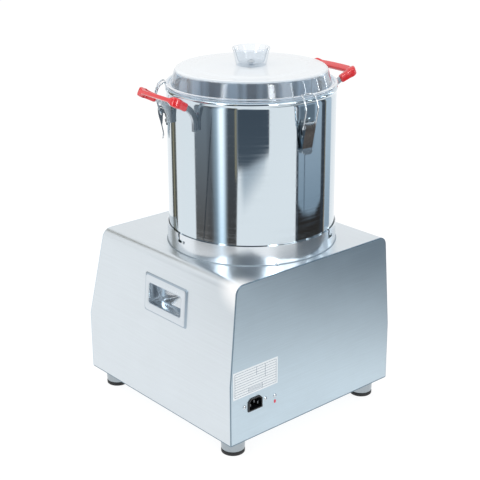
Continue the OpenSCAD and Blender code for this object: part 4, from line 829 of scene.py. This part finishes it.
# On the floor, right of the bowl: a dark runner, a sector whose cover grows from its near side
start, end, feather, near, far, off_floor = 70, 165, 18, 0.28, 0.88, 0.001
angle, reach = np.meshgrid(np.linspace(start, end, 40), np.linspace(near, far, 20), indexing="ij")
x, y = reach * np.cos(np.radians(angle)), axis[1] + reach * np.sin(np.radians(angle))
sides = np.clip(np.minimum(angle - start, end - angle) / feather, 0, 1)
sheet("runner_back", np.stack([x, y, 0 * x + off_floor], -1), sides * (reach - near) / (far - near),
      0 * reach, ("3F5363", "3F5363"), fade="LINEAR")

world = bpy.data.worlds.new("studio")
bpy.context.scene.world = world
world.use_nodes = True
world.node_tree.nodes.clear()
sky_path = add(world, "ShaderNodeLightPath")
sky_rays = sky_path.outputs["Is Camera Ray"], sky_path.outputs["Is Glossy Ray"]
sky_seen = add(world, "ShaderNodeMath", {0: sky_rays[0], 1: sky_rays[1]}, operation="MAXIMUM").outputs[0]
soft_fill = add(world, "ShaderNodeBackground", {"Color": linear("FFFFFF"), "Strength": 0.8}).outputs[0]
white_back = add(world, "ShaderNodeBackground", {"Color": linear("FFFFFF"), "Strength": 1.0}).outputs[0]
sky = add(world, "ShaderNodeMixShader", {0: sky_seen, 1: soft_fill, 2: white_back}).outputs[0]
add(world, "ShaderNodeOutputWorld", {"Surface": sky})


def lamp(name, place, target, size, power):
    """A square soft lamp at one point, turned to face another."""
    light = bpy.data.lights.new(name, "AREA")
    light.shape, light.size, light.energy = "SQUARE", size, power
    made = bpy.data.objects.new(name, light)
    bpy.context.scene.collection.objects.link(made)
    made.location = place
    made.rotation_euler = (Vector(target) - Vector(place)).to_track_quat("-Z", "Y").to_euler()


lamp("key", (1.6, -0.2, 1.8), (0, 0, 0.25), 1.2, 12)
lamp("fill", (-0.6, 2.0, 1.6), (0, 0, 0.25), 1.2, 8)

camera_data = bpy.data.cameras.new("photo_camera")
camera = bpy.data.objects.new("photo_camera", camera_data)
bpy.context.scene.collection.objects.link(camera)
azimuth, pitch, roll = math.radians(139.02), math.radians(19.13), math.radians(-0.32)
stand = Vector((1.06508, axis[1] + 1.19947, 0.85784))
ahead = math.cos(pitch)
backward = Vector((math.sin(azimuth) * ahead, -math.cos(azimuth) * ahead, math.sin(pitch)))
level = Vector((math.cos(azimuth), math.sin(azimuth), 0))
upright = backward.cross(level)
picture_x = math.cos(roll) * level + math.sin(roll) * upright
picture_y = math.cos(roll) * upright - math.sin(roll) * level
turn = Matrix((picture_x, picture_y, backward)).transposed().to_4x4()
camera.matrix_world = Matrix.Translation(stand) @ turn
camera_data.sensor_width, camera_data.lens, camera_data.shift_y = 36, 84.07, -0.05
bpy.context.scene.camera = camera
bpy.context.scene.view_settings.view_transform = "Standard"
